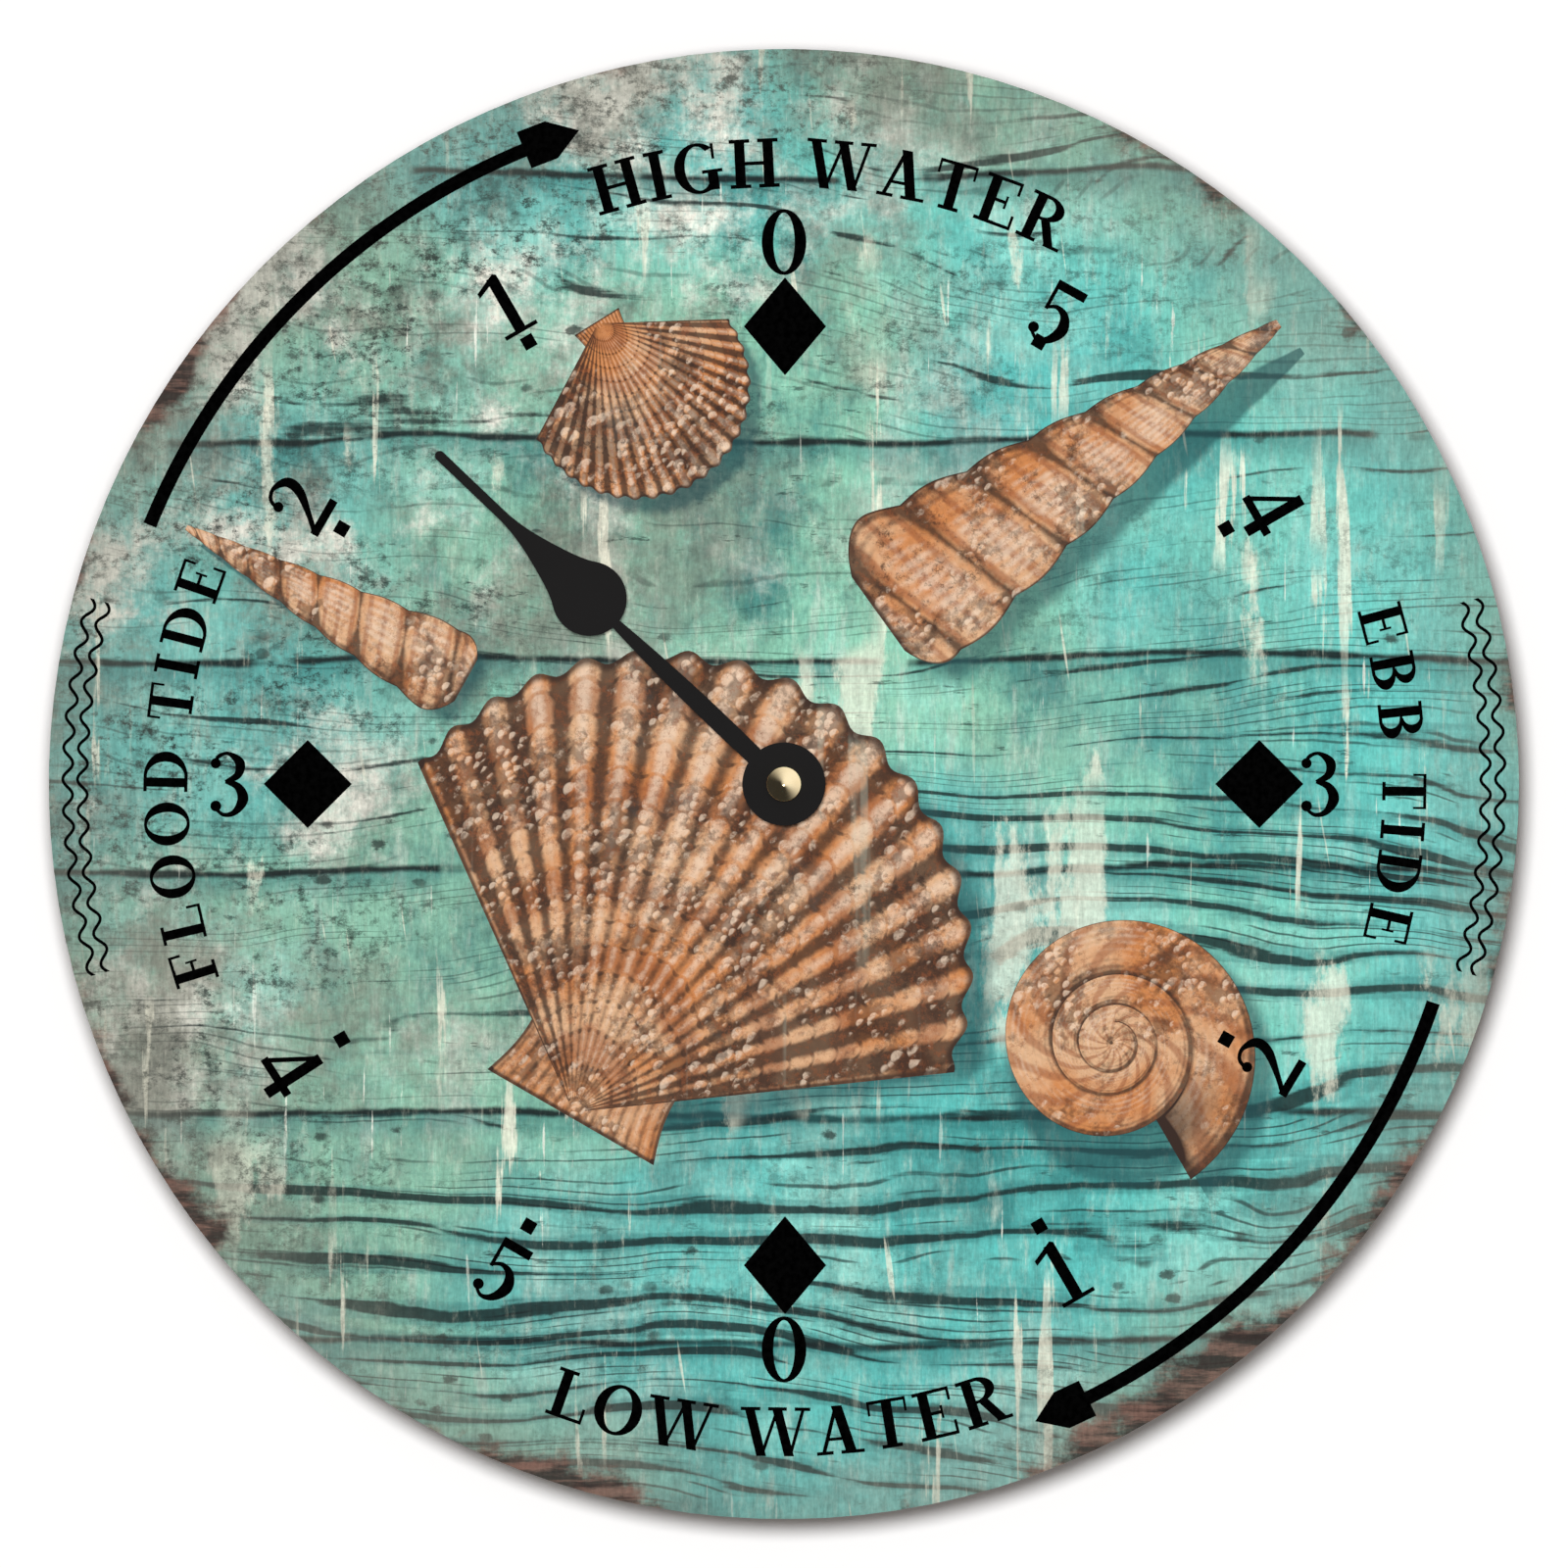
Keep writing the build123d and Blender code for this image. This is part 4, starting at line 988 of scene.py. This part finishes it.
# rim ornament: two fine running waves, one over the other
waves = {
    "radii": (716, 731), "half": 5, "crests": 12, "width": 3,
    "runs": ((-105.5, -75), (75, 105.5)),
    "steps": 16,     # in one crest
}
waveSheet = Sheet()
for start, end in waves["runs"]:
    for radius in waves["radii"]:
        sides = []
        for step, angle in enumerate(evenly(start, end, waves["crests"] * waves["steps"])):
            phase = 2 * math.pi * step / waves["steps"]
            middle = radius + waves["half"] * math.sin(phase)
            half = waves["width"] / 2 * (1 + .55 * math.cos(phase) ** 2)
            sides.append((polar(angle, middle - half), polar(angle, middle + half)))
        waveSheet.add(strip(sides))
waveSheet.finish("ink_waves")
print("ink printed")

# Battery: jacket with rolled edges, flat minus end and a nub at the plus end

cellLow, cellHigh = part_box("battery")
cellMiddle = (cellLow + cellHigh) / 2
cellLength = cellHigh.x - cellLow.x
cell = {
    "corners": 64,
    "radius": (cellHigh.y - cellLow.y) / 2 - .00001,
    # from the minus end to the nub: place along X and radius, both as shares of the cell's
    "rings": (
        (0, .66), (.003, .7), (.008, .74), (.008, .83), (.004, .88), (.004, .94),
        (.009, .985), (.017, 1), (.962, 1), (.97, .985), (.974, .93), (.974, .85),
        (.969, .8), (.969, .52), (.972, .45), (.974, .39), (.994, .372), (.998, .35), (1, .3),
    ),
    "jacket": (.0035, .9745),      # reach of the jacket along the cell
    "jacketInner": .84,
    "bandFrom": .76,
}


def makeCell():
    # a disc at the minus end, drawn out along X ring by ring
    share, width = cell["rings"][0]
    bpy.ops.object.select_all(action="DESELECT")
    bpy.ops.mesh.primitive_circle_add(
        vertices=cell["corners"], radius=cell["radius"] * width, fill_type="NGON",
        location=(cellLow.x, cellMiddle.y, cellMiddle.z), rotation=(0, math.radians(90), 0),
    )
    piece = bpy.context.object
    piece.name = piece.data.name = "battery_cell"
    bpy.ops.object.transform_apply(location=True, rotation=True, scale=True)
    bpy.ops.object.mode_set(mode="EDIT")
    bpy.ops.mesh.select_all(action="SELECT")
    for reach, radius in cell["rings"][1:]:
        run = ((reach - share) * cellLength, 0, 0)
        bpy.ops.mesh.extrude_region_move(TRANSFORM_OT_translate={"value": run})
        growth = radius / width
        spot = (cellLow.x + reach * cellLength, cellMiddle.y, cellMiddle.z)
        bpy.ops.transform.resize(value=(1, growth, growth), center_override=spot)
        share, width = reach, radius
    bpy.ops.mesh.select_all(action="SELECT")
    bpy.ops.mesh.normals_make_consistent(inside=False)
    bpy.ops.object.mode_set(mode="OBJECT")
    bpy.ops.object.shade_smooth_by_angle(angle=math.radians(35))
    return piece


def jacketMaterial():
    # plain grey jacket with a dark band at the plus end, and a plus and a minus on it
    material, tree, shader = newMaterial("cellJacket", roughness=.3)
    x, _, z = partsOf(placeOf(tree, cellMiddle, 1000))
    share = (x * .001 + cellLength / 2) * (1 / cellLength)
    band = rise(share, cell["bandFrom"], cell["bandFrom"] + .002)
    line = rise(share, cell["bandFrom"] - .03, cell["bandFrom"] - .028) * (1 - band)
    colour = blendOf(band, paint(186, 190, 192), paint(34, 58, 84))
    colour = blendOf(line, colour, paint(196, 120, 60))

    def stroke(acrossX, acrossZ, middle):
        # a bar about a middle along X, with its half sizes in millimetres
        offX = maths("ABSOLUTE", x - middle)
        offZ = maths("ABSOLUTE", z)
        return rise(offX, acrossX, acrossX - .06) * rise(offZ, acrossZ, acrossZ - .06)

    plus = maths("MAXIMUM", stroke(.42, 1.9, 18.6), stroke(1.9, .42, 18.6))
    colour = blendOf(plus, colour, paint(226, 228, 228))
    colourTo(shader, blendOf(stroke(1.9, .42, -19), colour, paint(34, 58, 84)))
    return material


batteryPiece = makeCell()
cellSteel, _, cellSteelShader = newMaterial("cellSteel", roughness=.28, metallic=1)
colourTo(cellSteelShader, paint(196, 198, 200))
batteryPiece.data.materials.append(jacketMaterial())
batteryPiece.data.materials.append(cellSteel)
for face in batteryPiece.data.polygons:
    share = (face.center.x - cellLow.x) / cellLength
    corners = [batteryPiece.data.vertices[number].co - cellMiddle for number in face.vertices]
    wide = max(math.hypot(corner.y, corner.z) for corner in corners)
    low, high = cell["jacket"]
    covered = low < share < high and wide > cell["radius"] * cell["jacketInner"]
    face.material_index = 0 if covered else 1
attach(batteryPiece, "cell")
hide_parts("battery")
print("battery made")

# Rear cover with its moulded marks: a turning arrow, a plus, a minus and a label field

knobLow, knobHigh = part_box("setting_knob")
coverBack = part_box("rear_cover")[1].y
marks = {
    "depth": .0004,
    "clearance": .0004,     # of the cutter, behind the cover
    "arrow": {
        "radius": 7.8, "half": .45, "from": 35, "to": 128, "steps": 28,
        "head": 20, "headHalf": 1.5,
    },
    "signs": ((21.5, -42.2, True), (-21.5, -42.2, False)),     # x, z, plus or minus
    "signHalf": (1.8, .42),
    "field": (-2, -31, 22, -14),
    "pins": ((-21.5, -12.6), (3, -40.5), (21.5, -36)),
    "pinRadius": 1.4,
}


def coverMarks():
    # outlines of the marks in millimetres, seen along Y
    arrow = marks["arrow"]
    knob = (knobLow + knobHigh) / 2 * 1000
    centre = (knob.x, knob.z)
    radius, half, headHalf = arrow["radius"], arrow["half"], arrow["headHalf"]

    def spot(turn, away, middle=centre):
        return around(middle, turn, away, away)

    turns = evenly(arrow["from"], arrow["to"], arrow["steps"])
    outlines = strip([(spot(turn, radius - half), spot(turn, radius + half)) for turn in turns])
    outlines.append([
        spot(arrow["to"], radius - headHalf), spot(arrow["to"], radius + headHalf),
        spot(arrow["to"] + arrow["head"], radius),
    ])
    wide, thin = marks["signHalf"]
    for x, z, isPlus in marks["signs"]:
        outlines += bar(x - wide, z - thin, x + wide, z + thin)
        if isPlus:
            outlines += bar(x - thin, z - wide, x + thin, z + wide)
    outlines += bar(*marks["field"])
    for pin in marks["pins"]:
        outlines.append([spot(turn, marks["pinRadius"], pin) for turn in range(0, 360, 12)])
    return outlines


def makeMarkedCover():
    points, faces = signFaces(coverMarks())
    height = coverBack + marks["clearance"]
    mesh = bpy.data.meshes.new("coverCutter")
    mesh.from_pydata([(p.x / 1000, height, p.y / 1000) for p in points], [], faces)
    cutter = pieceOf("coverCutter", mesh)
    thicken(marks["clearance"] + marks["depth"])
    piece = pieceOf("cover_marked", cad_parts["rear_cover"].data.copy())
    bpy.ops.object.mode_set(mode="EDIT")
    bpy.ops.mesh.select_all(action="SELECT")
    bpy.ops.mesh.remove_doubles(threshold=.000001)
    bpy.ops.object.mode_set(mode="OBJECT")
    cut = piece.modifiers.new("marks", "BOOLEAN")
    cut.operation = "DIFFERENCE"
    cut.solver = "EXACT"
    cut.object = cutter
    bpy.ops.object.modifier_apply(modifier=cut.name)
    bpy.data.objects.remove(cutter)
    bpy.ops.mesh.customdata_custom_splitnormals_clear()
    bpy.ops.object.shade_flat()
    bpy.ops.object.shade_smooth_by_angle(angle=math.radians(25))
    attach(piece, "root")
    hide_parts("rear_cover")
    return piece


markedCover = makeMarkedCover()
print("rear cover marked")

# Materials of the solid parts


def moulded(name, dark, light, roughness, grain=900, specular=.5):
    # moulded plastic or rubber with a faint fine grain
    material, tree, shader = newMaterial(name, roughness=roughness, specular=specular)
    place = placeOf(tree)
    colourTo(shader, blendOf(noise(place, 60), paint(*dark), paint(*light)))
    bumpFrom(shader, noise(place, grain), .00002, .6)
    return material


def metal(name, dark, light, roughness):
    material, tree, shader = newMaterial(name, roughness=roughness, metallic=1)
    place = placeOf(tree)
    colourTo(shader, blendOf(noise(place, 150, 4), paint(*dark), paint(*light)))
    bumpFrom(shader, noise(place, 1400, 2), .00001, .4)
    return material


def turned(name, dark, light, roughness, rings=2600):
    # metal turned on a lathe: fine rings about the shaft
    material, tree, shader = newMaterial(name, roughness=roughness, metallic=1)
    place = placeOf(tree, dialCentre)
    x, _, z = partsOf(place)
    radius = maths("SQRT", x * x + z * z)
    colourTo(shader, blendOf(noise(place, 300, 4), paint(*dark), paint(*light)))
    bumpFrom(shader, wave(radius * rings) + noise(place, 2000, 2) * .5, .000004, .5)
    return material


def fibreboard():
    material, tree, shader = newMaterial("fibreboard", roughness=.85, specular=.2)
    place = placeOf(tree)
    fibres = noise(place, 1500, 4, (1, .5, 1), rough=.7)
    flecks = noise(place, 900, 2, (.4, 1, 1), shift=3.1)
    colour = blendOf(rise(fibres, .3, .7), paint(132, 102, 72), paint(164, 134, 100))
    colour = blendOf(rise(flecks, .66, .74) * .5, colour, paint(92, 68, 48))
    broad = rise(noise(place, 14), .35, .7) * .25
    colourTo(shader, blendOf(broad, colour, paint(120, 92, 64)))
    bumpFrom(shader, fibres, .00006, .6)
    return material


def laminate():
    # circuit board with copper tracks under green lacquer
    material, tree, shader = newMaterial("circuitLaminate", roughness=.35)
    place = placeOf(tree)
    x = partsOf(place)[0]
    tracks = rise(wave(x * 420 + noise(place, 90, 1) * 1.2), .55, .8)
    colour = blendOf(tracks * .6, paint(28, 92, 60), paint(70, 140, 84))
    colourTo(shader, blendOf(rise(noise(place, 900, 2), .6, .8) * .3, colour, paint(18, 60, 40)))
    return material


def windings():
    # enamelled copper wire in close turns along X
    material, tree, shader = newMaterial("copperWire", roughness=.3, metallic=1)
    place = placeOf(tree)
    x = partsOf(place)[0]
    turns = wave(x * 5200)
    # the colour follows the turns: painted shade, darker in the grooves between turns, and a
    # painted highlight, lighter on their crests
    colourTo(shader, blendOf(rise(turns, -1, 1), paint(120, 58, 30), paint(206, 118, 72)))
    bumpFrom(shader, turns, .00005, 1)
    return material


coverBlack = moulded("coverBlack", (24, 24, 25), (34, 34, 36), .42)
coverSatin = moulded("coverSatin", (50, 50, 52), (64, 64, 66), .6)
finishes = {
    "dial_board": fibreboard(),
    "printed_face": filmMaterial,
    "front_case hanger_loop": moulded("caseBlack", (20, 20, 21), (30, 30, 32), .48),
    "rear_cover": coverBlack,
    "rubber_gasket": moulded("rubber", (22, 22, 22), (34, 33, 32), .8, 500),
    "tide_hand": moulded("handBlack", (25, 24, 24), (30, 29, 29), .65, 1500, .04),
    "cap_nut": turned("capBrass", (208, 186, 142), (238, 222, 186), .2, 1800),
    "threaded_bush front_washer hex_nut tide_arbor":
        turned("turnedBrass", (176, 138, 74), (206, 170, 104), .28),
    "setting_knob": moulded("knobGrey", (58, 58, 60), (74, 74, 76), .4),
    "train_bridge": moulded("bridgePlastic", (190, 188, 180), (208, 206, 198), .45),
    "coil_bobbin": moulded("bobbinPlastic", (200, 198, 190), (222, 220, 212), .4),
    "rotor_magnet": metal("magnet", (66, 66, 70), (92, 92, 96), .4),
    "stator_plate coil_core": metal("statorSteel", (140, 142, 146), (178, 180, 184), .35),
    "crystal_can": metal("canSteel", (170, 172, 176), (206, 208, 212), .22),
    "contact_plus contact_minus": metal("springSteel", (168, 170, 172), (204, 206, 208), .25),
    "coil_winding": windings(),
    "circuit_board": laminate(),
    "timing_chip": moulded("chipBlack", (16, 16, 18), (26, 26, 28), .5, 2000),
}
finishOf = {name: finish for names, finish in finishes.items() for name in names.split()}
gearPlastic = moulded("gearPlastic", (226, 222, 208), (240, 237, 226), .42, 1200)
for name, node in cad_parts.items():
    for place in node.material_slots:
        place.material = finishOf.get(name, gearPlastic)
markedCover.data.materials.clear()
markedCover.data.materials.append(coverBlack)
markedCover.data.materials.append(coverSatin)
for face in markedCover.data.polygons:
    sunk = coverBack - face.center.y
    face.material_index = int(face.normal.y > .9 and abs(sunk - marks["depth"]) < .00005)
print("solid parts finished")
